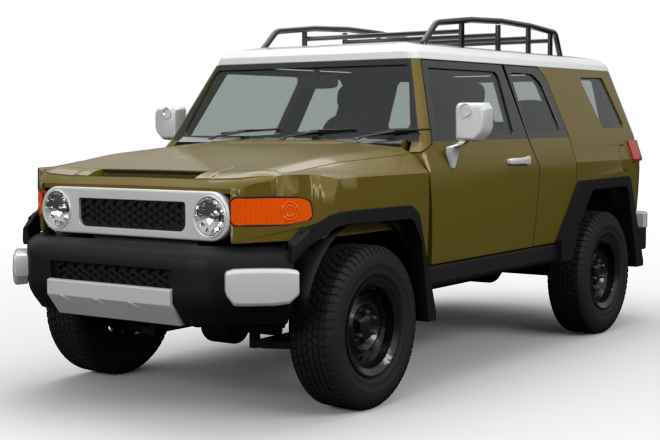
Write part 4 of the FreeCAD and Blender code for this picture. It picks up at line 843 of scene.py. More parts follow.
@dataclass(frozen=True)
class Tyres:
    """All-terrain tyres with their tread blocks and moulded side walls.

    Attributes:
        pitches: Blocks in a row round the tyre.
        depth: Depth of the grooves.
        rows: Inner and outer edge, share of the half-step shift, offset and slant of each row.
        shoulder: The shoulder lug's course, in (along, radius) pairs.
        wall: Half of the side walls' section, in (along, radius) pairs.
    """

    shop: Workshop
    pitches: int = 60
    depth: float = 0.0095
    rows: tuple = (
        (0.003, 0.026, 0.6, 0.0, 0.22), (0.033, 0.058, 1.0, 0.30, 0.30), (0.065, 0.090, 1.0, 0.55, 0.18))
    shoulder: tuple = ((0.094, 0.3885), (0.106, 0.3800), (0.1185, 0.3600), (0.1235, 0.345))
    wall: tuple = (
        (0.000, 0.3822), (0.030, 0.3820), (0.060, 0.3812), (0.092, 0.3790), (0.104, 0.3725),
        (0.1135, 0.3600), (0.1180, 0.3500), (0.1200, 0.3440), (0.1232, 0.3400), (0.1240, 0.3360),
        (0.1240, 0.3320), (0.1256, 0.3240), (0.1264, 0.3120), (0.1264, 0.3040), (0.1272, 0.3030),
        (0.1272, 0.3000), (0.1260, 0.2980), (0.1240, 0.2860), (0.1205, 0.2720), (0.1200, 0.2660),
        (0.1212, 0.2640), (0.1200, 0.2580), (0.1130, 0.2480), (0.1080, 0.2440), (0.1040, 0.2370),
        (0.1000, 0.2300), (0.0960, 0.2200))

    @property
    def pitch(self) -> float:
        """Return the angle from one block to the next."""
        return math.tau / self.pitches

    @staticmethod
    def crown(along: float) -> float:
        """Return the tread's radius at a distance from the middle."""
        return 0.3917 - 0.36 * along * along

    def lug(self, outline: list, low: float) -> Shape:
        """Raise one tread block.

        Args:
            outline: Its outline in (along, turn) pairs.
            low: Radius of its foot.

        Returns:
            Points and faces.
        """
        top = [self._wrap(x, self.crown(x), turn) for x, turn in outline]
        middle_x = sum(x for x, _ in outline) / len(outline)
        middle_turn = sum(turn for _, turn in outline) / len(outline)
        foot = [self._wrap(middle_x + (x - middle_x) * 1.10, low,
                           middle_turn + (turn - middle_turn) * 1.08) for x, turn in outline]
        return lofted([foot, top])

    @staticmethod
    def _wrap(along: float, radius: float, turn: float) -> Point:
        """Place a point on the wheel."""
        return along, radius * math.cos(turn), radius * math.sin(turn)

    def tread(self) -> Shape:
        """Lay the rows of blocks round the tyre.

        Returns:
            Points and faces.
        """
        shapes = []
        for step in range(self.pitches):
            start = step * self.pitch
            for side in (-1, 1):
                shift = 0.5 * self.pitch if side > 0 else 0.0
                for near, away, share, offset, slant in self.rows:
                    turn = start + shift * share + offset * self.pitch
                    shapes.append(self._block(side, near, away, turn, slant))
                shapes.append(self._shoulder(side, start + shift + 0.62 * self.pitch, step % 2))
        return merged(*shapes)

    def _block(self, side: int, near: float, away: float, start: float, slant: float) -> Shape:
        """Make one block of a row, slanted and notched.

        Args:
            side: 1 or -1 for the tread's halves.
            near: The block's inner edge.
            away: Its outer edge.
            start: Where it begins round the wheel.
            slant: How far it slants, as a share of the pitch.

        Returns:
            Points and faces.
        """
        long = 0.78 * self.pitch
        skew = slant * self.pitch
        middle = (near + away) / 2
        line = [(near, 0), (middle - 0.002, skew * 0.35), (middle + 0.002, skew * 0.75), (away, skew)]
        outline = line + [(x, long + turn) for x, turn in reversed(line)]
        return self.lug([(side * x, start + turn) for x, turn in outline], self.crown(middle) - self.depth)

    def _shoulder(self, side: int, start: float, long: int) -> Shape:
        """Make one lug that wraps from the tread over the shoulder.

        Args:
            side: 1 or -1 for the tread's halves.
            start: Where it begins round the wheel.
            long: 1 for the longer lugs.

        Returns:
            Points and faces.
        """
        rings = []
        for index, (x, radius) in enumerate(self.shoulder):
            foot = index == len(self.shoulder) - 1
            radius -= 0.006 * long * foot
            width = self.pitch * (0.74 - 0.05 * index)
            under = radius - (0.001 if foot else 0.008)
            back = x - (0.004 if foot else 0.002 * index)
            rings.append([self._wrap(side * x, radius, start), self._wrap(side * x, radius, start + width),
                          self._wrap(side * back, under, start + width + 0.002),
                          self._wrap(side * back, under, start - 0.002)])
        return lofted(rings)

    def carcass(self) -> Shape:
        """Revolve the side walls and the ground that the blocks stand on."""
        profile = [(-x, radius) for x, radius in reversed(self.wall[1:])] + list(self.wall)
        return turned(profile, 128)

    def build(self) -> None:
        """Set one tyre on each wheel and on the spare's carrier."""
        shape = merged(self.carcass(), self.tread())
        for spot in WHEELS:
            node = "tyre_" + spot
            low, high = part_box(node)
            turn = QUARTER_TURN if spot == "spare" else Matrix.Identity(4)
            place = Matrix.Translation((low + high) / 2) @ turn
            self.shop.form(node + "_tread", shape, Role.TYRE, self.shop.bodies[node],
                           replaced=(node,), edge=34.0, place=place)


@dataclass
class Hood:
    """The hood's pressed skin with its raised panel, air intake and V-shaped fold.

    Attributes:
        nose: The front edge's place along the car.
        tail: The rear edge's place.
        corner: How far out its front corners begin to round off.
        bend: How far back the rounded front edge is felt.
        intake: Where the air intake begins and ends.
        intake_half: Half the intake's width.
        intake_floor: Height of the intake's floor.
        raised: Height of the raised panel.
        fold: Depth of the V-shaped fold.
        lip: How far the front edge rolls down, and over what length.
        drop: How far the edge is folded down.
        step: Width of the grid's squares.
        passes: How often the grid is ironed.
        edges: Half the hood's width along the car.
        seam: Course of the line round the raised panel.
    """

    shop: Workshop
    nose: float = -2.146
    tail: float = -1.0
    corner: float = 0.60
    bend: float = -2.03
    intake: Flat = (-2.102, -2.0)
    intake_half: float = 0.34
    intake_floor: float = 1.0985
    raised: float = 0.006
    fold: float = 0.013
    lip: Flat = (0.012, 0.046)
    drop: float = 0.022
    step: float = 0.0115
    passes: int = 14
    edges: tuple = ((-2.146, 0.752), (-2.05, 0.744), (-1.56, 0.774), (-1.0, 0.816))
    seam: tuple = ((-0.438, -2.112), (-0.400, -1.866), (-0.385, -1.860), (0.385, -1.860), (0.400, -1.866),
                   (0.438, -2.112))

    def __post_init__(self) -> None:
        """Lay out the grid over the solid."""
        self.tree = self.shop.surface("hood")
        self.rows = self._lines(self.nose, self.tail, self.step, (-2.1021, -2.1019, -2.0003, -1.9997))
        self.columns = self._lines(-0.70, 0.70, self.step, (-0.3403, -0.3397, 0.3397, 0.3403))

    @staticmethod
    def _lines(low: float, high: float, step: float, exact: tuple) -> list:
        """Spread values evenly and swap in the exact ones.

        Args:
            low: The first value.
            high: The last value.
            step: The distance between values.
            exact: Values that have to be there.

        Returns:
            The values in order.
        """
        count = round((high - low) / step)
        even = [low + (high - low) * index / count for index in range(count + 1)]
        clear = [value for value in even if all(abs(value - other) > 0.004 for other in exact)]
        return sorted(clear + list(exact))

    def half(self, y: float) -> float:
        """Find the hood's half width.

        Args:
            y: A place along the car.

        Returns:
            The half width there.
        """
        for (near, wide), (away, wider) in zip(self.edges, self.edges[1:]):
            if y <= away:
                return wide + (wider - wide) * (y - near) / (away - near)
        return self.edges[-1][1]

    def lateral(self, y: float) -> list:
        """Fit the columns to the hood's edges.

        Args:
            y: The row's place along the car.

        Returns:
            The columns' places across it.
        """
        edge = self.half(y)
        outer = [0.70 + (edge - 0.70) * index / 6 for index in range(1, 7)]
        return [-x for x in reversed(outer)] + self.columns + outer

    def front(self, x: float) -> float:
        """Return where the hood's front edge lies at a place across the car."""
        return max(self.nose, -2.115 + 0.7075 * (abs(x) - 0.68))

    def along(self, x: float, y: float) -> float:
        """Fit a row to the rounded front edge.

        Args:
            x: A place across the car.
            y: The row's place along it.

        Returns:
            The row's place at that column.
        """
        if y >= self.bend or abs(x) <= self.corner:
            return y
        edge = self.front(x)
        return edge + (y - self.nose) / (self.bend - self.nose) * (self.bend - edge)

    def base(self) -> list:
        """Read the solid's top over the grid, fill its slot and iron out its facets.

        Returns:
            Rows of heights.
        """
        grid = []
        for y in self.rows:
            line = []
            for x in self.lateral(y):
                inner = math.copysign(min(abs(x), self.half(y) - 0.0006), x)
                along = min(max(self.along(x, y), self.nose + 0.004), self.tail - 0.0006)
                hit = self.tree.ray_cast(Vector((inner, along, 2.0)), DOWN)[0]
                slot = -2.03 < y < -1.99 and abs(x) < 0.36
                line.append(hit.z if hit and not slot else None)
            grid.append(line)
        for column in range(len(grid[0])):
            known = [index for index, line in enumerate(grid) if line[column] is not None]
            for index, line in enumerate(grid):
                if line[column] is None:
                    before = max([k for k in known if k < index], default=known[0])
                    after = min([k for k in known if k > index], default=known[-1])
                    share = (index - before) / max(after - before, 1)
                    line[column] = grid[before][column] * (1 - share) + grid[after][column] * share
        for _ in range(self.passes):
            grid = [[self._mean(grid, row, column) for column in range(len(grid[0]))]
                    for row in range(len(grid))]
        return grid

    @staticmethod
    def _mean(grid: list, row: int, column: int) -> float:
        """Level one height with its four neighbours, away from the rim.

        Args:
            grid: Rows of heights.
            row: Its row.
            column: Its column.

        Returns:
            The levelled height.
        """
        here = grid[row][column]
        if 0 < row < len(grid) - 1 and 0 < column < len(grid[0]) - 1:
            around = (grid[row - 1][column] + grid[row + 1][column]
                      + grid[row][column - 1] + grid[row][column + 1])
            return here * 0.4 + around * 0.15
        return here

    def shaped(self, x: float, y: float, height: float) -> float:
        """Add the pressed forms to the plain surface.

        Args:
            x: A place across the car.
            y: A place along it.
            height: The plain surface's height there.

        Returns:
            The pressed height.
        """
        side = 0.44 - 0.04 * (y + 2.10) / 0.235
        inside = min(eased((side - abs(x)) / 0.012), eased((-1.862 - y) / 0.012),
                     eased((y + 2.125) / 0.03))
        height += self.raised * inside
        crease = -1.235 + 0.60 * abs(x) ** 1.6
        rise, sides = 1 - eased((y + 1.10) / 0.095), 1 - eased((abs(x) - 0.50) / 0.12)
        dip = eased((y - crease) / 0.045) * rise * sides
        height -= self.fold * dip
        if self.intake[0] <= y <= self.intake[1] and abs(x) <= self.intake_half:
            height = min(height, self.intake_floor)
        fall, length = self.lip
        share = max(self.front(x) + length - self.along(x, y), 0.0) / length
        return height - fall * share * share

    def hem(self, x: float, y: float, height: float) -> float:
        """Return how far down the hood's edge is folded: to the lamps along its front."""
        low = 1.034 if abs(x) > self.corner else 1.057
        return min(height, height + (low - height) * eased((-1.985 - y) / 0.03))

    def build(self) -> None:
        """Make the skin, the intake's mesh and the seam round the raised panel."""
        grid = self.base()
        points, faces = [], []
        wide = len(grid[0])
        for y, line in zip(self.rows, grid):
            for x, height in zip(self.lateral(y), line):
                points.append(tucked((x, self.along(x, y), self.shaped(x, y, height))))
        for row in range(len(self.rows) - 1):
            for column in range(wide - 1):
                first = row * wide + column
                faces.append((first, first + 1, first + wide + 1, first + wide))
        loop = ([row * wide for row in range(len(self.rows) - 1, 0, -1)] + list(range(wide - 1))
                + [row * wide + wide - 1 for row in range(len(self.rows) - 1)]
                + [(len(self.rows) - 1) * wide + column for column in range(wide - 1, 0, -1)])
        first = len(points)
        for index in loop:
            x, y, z = points[index]
            points.append((x * 0.9995, y, self.hem(x, y, z - self.drop)))
        for index, near in enumerate(loop):
            after = (index + 1) % len(loop)
            faces.append((near, loop[after], first + after, first + index))
        self.shop.form("hood_skin", (points, faces), Role.OLIVE, "hood", replaced=("hood",), edge=32.0)
        self.shop.form("hood_intake_mesh", self.intake_mesh(), Role.PLASTIC, "hood", edge=30.0)
        tree = BVHTree.FromPolygons(points, faces)
        line = []
        for (x0, y0), (x1, y1) in zip(self.seam, self.seam[1:]):
            count = max(2, round(math.hypot(x1 - x0, y1 - y0) / 0.02))
            for step in range(count):
                share = step / count
                above = Vector((x0 + (x1 - x0) * share, y0 + (y1 - y0) * share, 2))
                hit = tree.ray_cast(above, DOWN)[0]
                if hit:
                    line.append(hit)
        self.shop.tube("hood_panel_seam", line, 0.0014, Role.DARK, "hood")

    @staticmethod
    def intake_mesh() -> Shape:
        """Weave the intake's wire mesh in front of a dark wall.

        Returns:
            Points and faces.
        """
        shapes = [block((-0.336, -2.0, 1.094), (0.336, -1.9985, 1.1335))]
        for index in range(-17, 18):
            for lean in (-1, 1):
                middle = index * 0.020
                ring = [(middle - lean * 0.018, 1.098), (middle + lean * 0.018, 1.130)]
                if all(abs(x) < 0.337 for x, _ in ring):
                    (x0, z0), (x1, z1) = ring
                    shapes.append(lofted([
                        [(x0 - 0.001, -2.003, z0), (x0 + 0.001, -2.003, z0), (x0, -2.0005, z0)],
                        [(x1 - 0.001, -2.003, z1), (x1 + 0.001, -2.003, z1), (x1, -2.0005, z1)]]))
        return merged(*shapes)


@dataclass(frozen=True)
class Bumper:
    """The moulded front bumper with its lower grille opening.

    Attributes:
        half_path: The left half of its plan, across and along.
        section: Its section: inwards and up.
        wall: Its thickness.
        station: Distance between rings of points.
    """

    shop: Workshop
    half_path: tuple = ((0.0, -2.313), (0.385, -2.313), (0.48, -2.311), (0.53, -2.302), (0.575, -2.283),
                        (0.70, -2.172), (0.80, -2.084), (0.838, -2.050), (0.847, -2.032))
    section: tuple = (
        (0.140, 0.812), (0.105, 0.815), (0.070, 0.806), (0.040, 0.794), (0.018, 0.780), (0.006, 0.763),
        (0.0, 0.742), (0.0, 0.713), (0.0, 0.620), (0.001, 0.590), (0.008, 0.560), (0.026, 0.525),
        (0.050, 0.490), (0.064, 0.470), (0.080, 0.464), (0.140, 0.464))
    wall: float = 0.022
    station: float = 0.03

    def build(self) -> None:
        """Sweep the section along the bumper's plan and open its grille."""
        path = self._fine([(-x, y) for x, y in reversed(self.half_path[1:])] + list(self.half_path))
        rings = []
        for index, (x, y) in enumerate(path):
            before, after = path[max(index - 1, 0)], path[min(index + 1, len(path) - 1)]
            across, along = after[0] - before[0], after[1] - before[1]
            size = math.hypot(across, along)
            inward = (-along / size, across / size)
            rings.append([(x + inward[0] * depth, y + inward[1] * depth, height)
                          for depth, height in self.section])
        points, faces = lofted(rings, closed=False, capped=False)
        faces = [face for face in faces if not self._opening(points, face)]
        made = self.shop.form("bumper_moulding", (points, faces), Role.PLASTIC,
                              replaced=("front_bumper",), edge=30.0)
        wall = made.modifiers.new("wall", "SOLIDIFY")
        wall.thickness = self.wall
        wall.offset = -1.0
        add_bevel(made, 0.006)

    @staticmethod
    def _opening(points: list, face: tuple) -> bool:
        """Tell whether a face lies in the lower grille's opening."""
        middle = [sum(points[index][axis] for index in face) / len(face) for axis in range(3)]
        return abs(middle[0]) < 0.384 and 0.62 < middle[2] < 0.713

    def _fine(self, route: list) -> list:
        """Put stations between the path's corners.

        Args:
            route: The corners.

        Returns:
            Corners and stations.
        """
        path = []
        for (x0, y0), (x1, y1) in zip(route, route[1:]):
            count = max(1, round(math.hypot(x1 - x0, y1 - y0) / self.station))
            for step in range(count):
                path.append((x0 + (x1 - x0) * step / count, y0 + (y1 - y0) * step / count))
        return path + [route[-1]]


@dataclass(frozen=True)
class Lamps:
    """Headlamps with reflectors and lenses, and the detail of the amber side lamps.

    Attributes:
        middle: The left headlamp's middle, across and up.
        bowl: Section of the reflector, in (along, radius) pairs.
        bulb: Section of the bulb and its socket.
        ring: Section of the silver ring.
        lens: Section of the lens.
        webs: Small webs round the bowl's rim.
        ribs: Ribs on a side lamp.
        eye: Middle of the side lamp's round lens, across and up.
        eye_rings: Radii of the rings round it.
    """

    shop: Workshop
    middle: Flat = (0.485, 0.944)
    bowl: tuple = (
        (0.006, 0.088), (0.014, 0.082), (0.028, 0.068), (0.040, 0.050), (0.050, 0.028), (0.052, 0.014))
    bulb: tuple = ((0.012, 0.0), (0.013, 0.009), (0.018, 0.015), (0.040, 0.017), (0.046, 0.024))
    ring: tuple = (
        (0.012, 0.0860), (0.000, 0.0885), (-0.001, 0.0925), (0.004, 0.0955), (0.030, 0.0955))
    lens: tuple = ((0.004, 0.0885), (0.000, 0.080), (-0.004, 0.060), (-0.0055, 0.030), (-0.006, 0.0))
    webs: int = 11
    ribs: int = 8
    eye: Flat = (0.802, 0.969)
    eye_rings: Flat = (0.040, 0.024)

    def build(self) -> None:
        """Make both headlamps and both side lamps."""
        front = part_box("headlamps")[0].y
        web = block((0.018, 0.058, -0.004), (0.026, 0.079, 0.004))
        webs = [moved(web, Matrix.Rotation(math.tau * step / self.webs, 4, "X"))
                for step in range(self.webs)]
        pieces = (
            # name, shape, finish, sharp angle
            ("headlamp_reflector", turned(self.bowl, 22), Role.CHROME, 4.0),
            ("headlamp_bulb", merged(turned(self.bulb, 24), *webs), Role.CHROME, 30.0),
            ("headlamp_ring", turned(self.ring, 64), Role.SILVER, 40.0),
            ("headlamp_lens", turned(self.lens, 64), Role.LENS, 60.0))
        for side, name in SIDES:
            place = Matrix.Translation((side * self.middle[0], front, self.middle[1])) @ QUARTER_TURN
            for label, shape, role, sharp in pieces:
                first = label == "headlamp_reflector" and side > 0
                self.shop.form(f"{label}_{name}", shape, role, edge=sharp, place=place,
                               replaced=("headlamps",) if first else ())
            self._side_lamp(side, name)

    def _side_lamp(self, side: int, name: str) -> None:
        """Lay ribs and a round lens on an amber side lamp.

        Args:
            side: 1 for the left lamp, -1 for the right one.
            name: The side's name.
        """
        tree = self.shop.surface("turn_lamps")

        def on_lamp(x: float, z: float) -> Vector | None:
            """Find the lamp's face behind a place."""
            hit = tree.ray_cast(Vector((side * x, AHEAD, z)), BACKWARDS)[0]
            return tucked(hit) if hit else None

        for index in range(self.ribs):
            x = 0.622 + index * 0.016
            line = [point for point in (on_lamp(x, 0.916 + step * 0.0132) for step in range(9)) if point]
            if len(line) > 2:
                self.shop.tube(f"side_lamp_rib_{name}_{index + 1}", line, 0.0030, Role.AMBER)
        for index, radius in enumerate(self.eye_rings):
            ring = [on_lamp(self.eye[0] + radius * 0.72 * math.cos(math.tau * step / 32),
                            self.eye[1] + radius * math.sin(math.tau * step / 32)) for step in range(33)]
            ring = [point for point in ring if point]
            if len(ring) > 10:
                self.shop.tube(f"side_lamp_ring_{name}_{index + 1}", ring, 0.0036, Role.AMBER)


@dataclass(frozen=True)
class Wings:
    """The wings' lower edges, the flares' front ends and the seals round the side lamps.

    Attributes:
        inner: Where the apron begins, across.
        width: The apron's width.
        top: Height of its upper edge.
        columns: Steps across it.
        noses: Sections of the flare's front end: along, inner, outer, lower edge, upper edge.
        lamp: The left side lamp's middle.
        view: Parts, across and along, of the way from the front corner to the lamp.
        reach: How far from its middle the lamp's outline is looked for.
        steps: Points round the seal.
    """

    shop: Workshop
    inner: float = 0.602
    width: float = 0.248
    top: float = 0.90
    columns: int = 14
    noses: tuple = ((-1.970, 0.845, 0.894, 0.808, 0.905), (-2.005, 0.840, 0.886, 0.782, 0.876),
                    (-2.035, 0.835, 0.878, 0.758, 0.851), (-2.060, 0.832, 0.866, 0.742, 0.836))
    lamp: Point = (0.742, -2.075, 0.969)
    view: Flat = (0.62, 0.785)
    reach: float = 0.24
    steps: int = 48

    def build(self) -> None:
        """Close each wing towards the bumper and seal its lamp."""
        for side, name in SIDES:
            mirror = flipped(side)
            self.shop.form(f"wing_apron_{name}", self.apron(), Role.OLIVE, place=mirror)
            self.shop.form(f"flare_nose_{name}", self.nose(), Role.PLASTIC, edge=35.0, round_by=0.008,
                           place=mirror)
            self.shop.tube(f"side_lamp_seal_{name}", self.seal(side), 0.0048, Role.DARK)

    def apron(self) -> Shape:
        """Hang a sheet from behind the wing's lower edge down to the bumper's top.

        Returns:
            Points and faces.
        """
        tree = self.shop.surface("fenders")
        rings = []
        for step in range(self.columns + 1):
            x = self.inner + self.width * step / self.columns
            hit = tree.ray_cast(Vector((x, AHEAD, 0.898)), BACKWARDS)[0]
            along = (hit.y if hit else -1.998) + 0.003
            low = 0.828 + 0.012 * step / self.columns
            rings.append([tucked((x, along, self.top)), tucked((x, along, low)),
                          tucked((x, along + 0.03, low - 0.004)), tucked((x, along + 0.03, self.top))])
        return lofted(rings)

    def nose(self) -> Shape:
        """Bring the flare's front end down to the bumper's corner.

        Returns:
            Points and faces.
        """
        rings = []
        for y, inner, outer, low, high in self.noses:
            rings.append([(inner, y + 0.03, low), (outer - 0.006, y, low), (outer, y + 0.004, low + 0.03),
                          (outer - 0.004, y + 0.004, high - 0.012), (outer - 0.022, y, high),
                          (inner, y, high)])
        return lofted(rings)

    def seal(self, side: int) -> list:
        """Find the side lamp's outline as seen from the front corner.

        Args:
            side: 1 for the left lamp, -1 for the right one.

        Returns:
            Points round the outline.
        """
        tree = self.shop.surface("turn_lamps")
        sine, cosine = self.view
        way = Vector((-side * sine, cosine, 0))
        across = Vector((side * cosine, sine, 0))
        middle = Vector((side * self.lamp[0], self.lamp[1], self.lamp[2]))
        points = []
        for step in range(self.steps + 1):
            angle = math.tau * step / self.steps
            ray = across * math.cos(angle) + Vector((0, 0, 1)) * math.sin(angle)
            low, high, last = 0.0, self.reach, None
            for _ in range(14):
                reach = (low + high) / 2
                hit = tree.ray_cast(middle + ray * reach - way, way, 1.12)[0]
                if hit:
                    low, last = reach, hit
                else:
                    high = reach
            if last:
                points.append(tucked(last + ray * 0.002 + way * 0.002))
        return points


@dataclass(frozen=True)
class DoorFittings:
    """Door mirrors on their stalks and the pull handles.

    Attributes:
        shell_outline: The mirror shell's outline, across and up.
        shell_rows: Places along the shell and how far the outline shrinks there.
        rim_outline: Outline of the black rim round the glass.
        middle: The mirror's middle, across and up.
        stalk_rows: Across, along, up, half width and half depth of the stalk.
        lamp: Middle of the mirror's small lamp.
        lamp_ring: Section of the ring round it, in (along, radius) pairs.
        lamp_bowl: Section of its bowl.
        pull_rows: Along, outer side and half height of the handle.
        pull_height: Height of the handle's middle.
        pocket_rows: Radius and lift of the finger pocket's rim.
    """

    shop: Workshop
    shell_outline: tuple = (
        (0.942, 1.262), (1.062, 1.257), (1.108, 1.300), (1.121, 1.330), (1.121, 1.425), (1.100, 1.455),
        (0.952, 1.457), (0.940, 1.440))
    shell_rows: tuple = ((-0.700, 1.0), (-0.735, 1.0), (-0.765, 0.965), (-0.783, 0.90), (-0.788, 0.82))
    rim_outline: tuple = (
        (0.941, 1.262), (1.062, 1.256), (1.108, 1.299), (1.122, 1.330), (1.122, 1.426), (1.101, 1.456),
        (0.952, 1.458), (0.939, 1.440))
    middle: Flat = (1.030, 1.358)
    stalk_rows: tuple = (
        (0.912, -0.745, 1.120, 0.007, 0.018), (0.914, -0.748, 1.150, 0.010, 0.030),
        (0.916, -0.752, 1.200, 0.016, 0.048), (0.922, -0.752, 1.232, 0.020, 0.050),
        (0.950, -0.745, 1.240, 0.022, 0.034), (0.972, -0.742, 1.252, 0.020, 0.026),
        (0.985, -0.742, 1.275, 0.020, 0.024))
    lamp: Point = (1.010, -0.790, 1.418)
    lamp_ring: tuple = (
        (0.030, 0.0360), (0.0, 0.0360), (-0.006, 0.0340), (-0.006, 0.0290), (0.004, 0.0270))
    lamp_bowl: tuple = ((0.000, 0.0275), (0.012, 0.020), (0.018, 0.0))
    pull_rows: tuple = (
        (-0.135, 0.913, 0.012), (-0.128, 0.926, 0.016), (-0.108, 0.936, 0.018), (-0.030, 0.940, 0.018),
        (0.040, 0.938, 0.020), (0.062, 0.935, 0.024), (0.085, 0.932, 0.027), (0.112, 0.928, 0.026),
        (0.130, 0.922, 0.020), (0.136, 0.913, 0.012))
    pull_height: float = 1.139
    pocket_rows: tuple = ((0.062, 0.0004), (0.058, 0.0022), (0.054, 0.0026), (0.050, 0.0008))

    def build(self) -> None:
        """Fit both front doors."""
        glass = block((0.955, -0.6965, 1.285), (1.100, -0.6955, 1.43))
        for side, name in SIDES:
            node = "front_door_fittings_" + name
            mirror = flipped(side)
            spin = mirror @ Matrix.Translation(self.lamp) @ QUARTER_TURN
            pieces = (
                # name, shape, finish, sharp angle, rounding, place
                ("mirror_shell", self.shell(), Role.SILVER, 36.0, 0.006, mirror),
                ("mirror_back", self.back(), Role.PLASTIC, 36.0, 0.003, mirror),
                ("mirror_glass", glass, Role.CHROME, 40.0, 0.0, mirror),
                ("mirror_stalk", self.stalk(), Role.SILVER, 40.0, 0.005, mirror),
                ("mirror_lamp_ring", turned(self.lamp_ring, 40), Role.SILVER, 40.0, 0.0, spin),
                ("mirror_lamp", turned(self.lamp_bowl, 18), Role.CHROME, 4.0, 0.0, spin),
                ("door_pull", self.pull(), Role.SILVER, 45.0, 0.005, mirror),
                ("door_pull_pocket", self.pocket(side), Role.OLIVE, 50.0, 0.0, None))
            for label, shape, role, sharp, rounding, place in pieces:
                self.shop.form(f"{label}_{name}", shape, role, self.shop.bodies[node], edge=sharp,
                               round_by=rounding, place=place,
                               replaced=(node,) if label == "mirror_shell" else ())

    def shell(self) -> Shape:
        """Loft the mirror's shell from its back rim to its domed front."""
        return lofted([self._shrunk(self.shell_outline, y, grow) for y, grow in self.shell_rows])

    def back(self) -> Shape:
        """Loft the black rim round the glass."""
        return lofted([self._shrunk(self.rim_outline, -0.7005, 1.0),
                       self._shrunk(self.rim_outline, -0.6965, 0.93)])

    def _shrunk(self, outline: tuple, y: float, grow: float) -> list:
        """Shrink an outline towards the mirror's middle.

        Args:
            outline: Points across and up.
            y: Where it is set down along the car.
            grow: The share that is left of it.

        Returns:
            The ring of points.
        """
        across, up = self.middle
        return [(across + (x - across) * grow, y, up + (z - up) * grow) for x, z in outline]

    def stalk(self) -> Shape:
        """Loft the foot on the door up to the mirror's neck."""
        return lofted([[(x - wide, y - deep, z), (x + wide, y - deep * 0.8, z),
                        (x + wide, y + deep * 0.8, z), (x - wide, y + deep, z)]
                       for x, y, z, wide, deep in self.stalk_rows])

    def pull(self) -> Shape:
        """Loft the bar of the handle with its round key end.

        Returns:
            Points and faces.
        """
        rings, up = [], self.pull_height
        for y, out, tall in self.pull_rows:
            rings.append([(out - 0.018, y, up - tall * 0.8), (out - 0.004, y, up - tall),
                          (out, y, up - tall * 0.5), (out, y, up + tall * 0.5),
                          (out - 0.004, y, up + tall), (out - 0.018, y, up + tall * 0.8)])
        return lofted(rings)

    def pocket(self, side: int) -> Shape:
        """Lay the finger pocket's shallow rim on the door skin.

        Args:
            side: 1 for the left door, -1 for the right one.

        Returns:
            Points and faces.
        """
        tree = self.shop.surface("front_door_left" if side > 0 else "front_door_right")
        rings = []
        for radius, sink in self.pocket_rows:
            ring = []
            for step in range(36):
                angle = math.tau * step / 36
                y, z = 0.015 + radius * math.cos(angle), 1.118 + radius * math.sin(angle)
                hit = tree.ray_cast(Vector((side * 2.0, y, z)), Vector((-side, 0, 0)))[0]
                depth = abs(hit.x) if hit else 0.912
                ring.append((side * (depth + sink), y, z))
            rings.append(ring)
        return lofted(rings, capped=False)


@dataclass(frozen=True)
class Guards:
    """Silver corner guards, the skid plate's ribs and black walls behind the meshes: the dark radiator
    plus painted shade seen through them.

    Attributes:
        stations: Across, along, lower edge and upper edge of a front guard.
        lip: A guard's section: inwards, backwards, and share of half its height.
        rib_starts: Where the skid plate's ribs stand, across.
        rib_ends: Left, right, front, back, low and high of a rib's upper and lower end.
    """

    shop: Workshop
    stations: tuple = (
        (0.666, -2.283, 0.632, 0.700), (0.674, -2.285, 0.612, 0.716), (0.700, -2.265, 0.568, 0.727),
        (0.742, -2.226, 0.565, 0.728), (0.785, -2.184, 0.565, 0.728), (0.830, -2.143, 0.565, 0.727),
        (0.875, -2.100, 0.572, 0.724), (0.898, -2.078, 0.600, 0.718), (0.904, -2.066, 0.612, 0.712))
    lip: tuple = (
        (0.045, 0.050, -0.94), (0.006, 0.008, -1.0), (0.0, 0.0, -0.82), (-0.003, -0.003, 0.0),
        (0.0, 0.0, 0.82), (0.006, 0.008, 1.0), (0.045, 0.050, 0.98))
    rib_starts: tuple = (-0.20, 0.02, 0.24)
    rib_ends: tuple = ((-0.10, -0.085, -2.3365, -2.33, 0.551, 0.556),
                       (0.02, 0.035, -2.262, -2.25, 0.4655, 0.475))

    def behind(self, side: int) -> Shape:
        """Take one rear guard over from the solid.

        Args:
            side: 1 for the left guard, -1 for the right one.

        Returns:
            Points and faces.
        """
        sheet = bmesh.new()
        sheet.from_mesh(self.shop.nodes["bumper_guards"].data)
        other = [face for face in sheet.faces
                 if face.calc_center_median().y < 0 or face.calc_center_median().x * side < 0]
        bmesh.ops.delete(sheet, geom=other, context="FACES")
        bmesh.ops.remove_doubles(sheet, verts=sheet.verts, dist=WELD)
        bmesh.ops.dissolve_limit(sheet, angle_limit=FLAT_ANGLE, verts=sheet.verts, edges=sheet.edges)
        sheet.verts.index_update()
        shape = ([vertex.co.copy() for vertex in sheet.verts],
                 [tuple(vertex.index for vertex in face.verts) for face in sheet.faces])
        sheet.free()
        return shape

    def build(self) -> None:
        """Make the guards, front and rear."""
        for side, name in SIDES:
            rings = []
            for x, y, low, high in self.stations:
                mid, tall = (low + high) / 2, (high - low) / 2
                rings.append([(side * (x - dx), y + dy, mid + tall * share) for dx, dy, share in self.lip])
            self.shop.form(f"corner_guard_{name}", lofted(rings), Role.SILVER, edge=24.0, round_by=0.004,
                           replaced=("bumper_guards",) if side > 0 else ())
            self.shop.form(f"rear_guard_{name}", self.behind(side), Role.SILVER, edge=24.0, round_by=0.004)
        ribs = [lofted([[(start + left, front, low), (start + right, front, low),
                         (start + right, back, high), (start + left, back, high)]
                        for left, right, front, back, low, high in self.rib_ends])
                for start in self.rib_starts]
        self.shop.form("skid_plate_ribs", merged(*ribs), Role.SILVER, edge=30.0)
        # Flat black walls just behind the grille meshes: they stand for the dark radiator and paint in the
        # shade of the hollows behind it.
        walls = merged(block((-0.36, -2.136, 0.856), (0.36, -2.126, 1.02)),
                       block((-0.40, -2.262, 0.600), (0.40, -2.250, 0.73)))
        self.shop.form("mesh_shade_walls", walls, Role.DARK, edge=30.0)


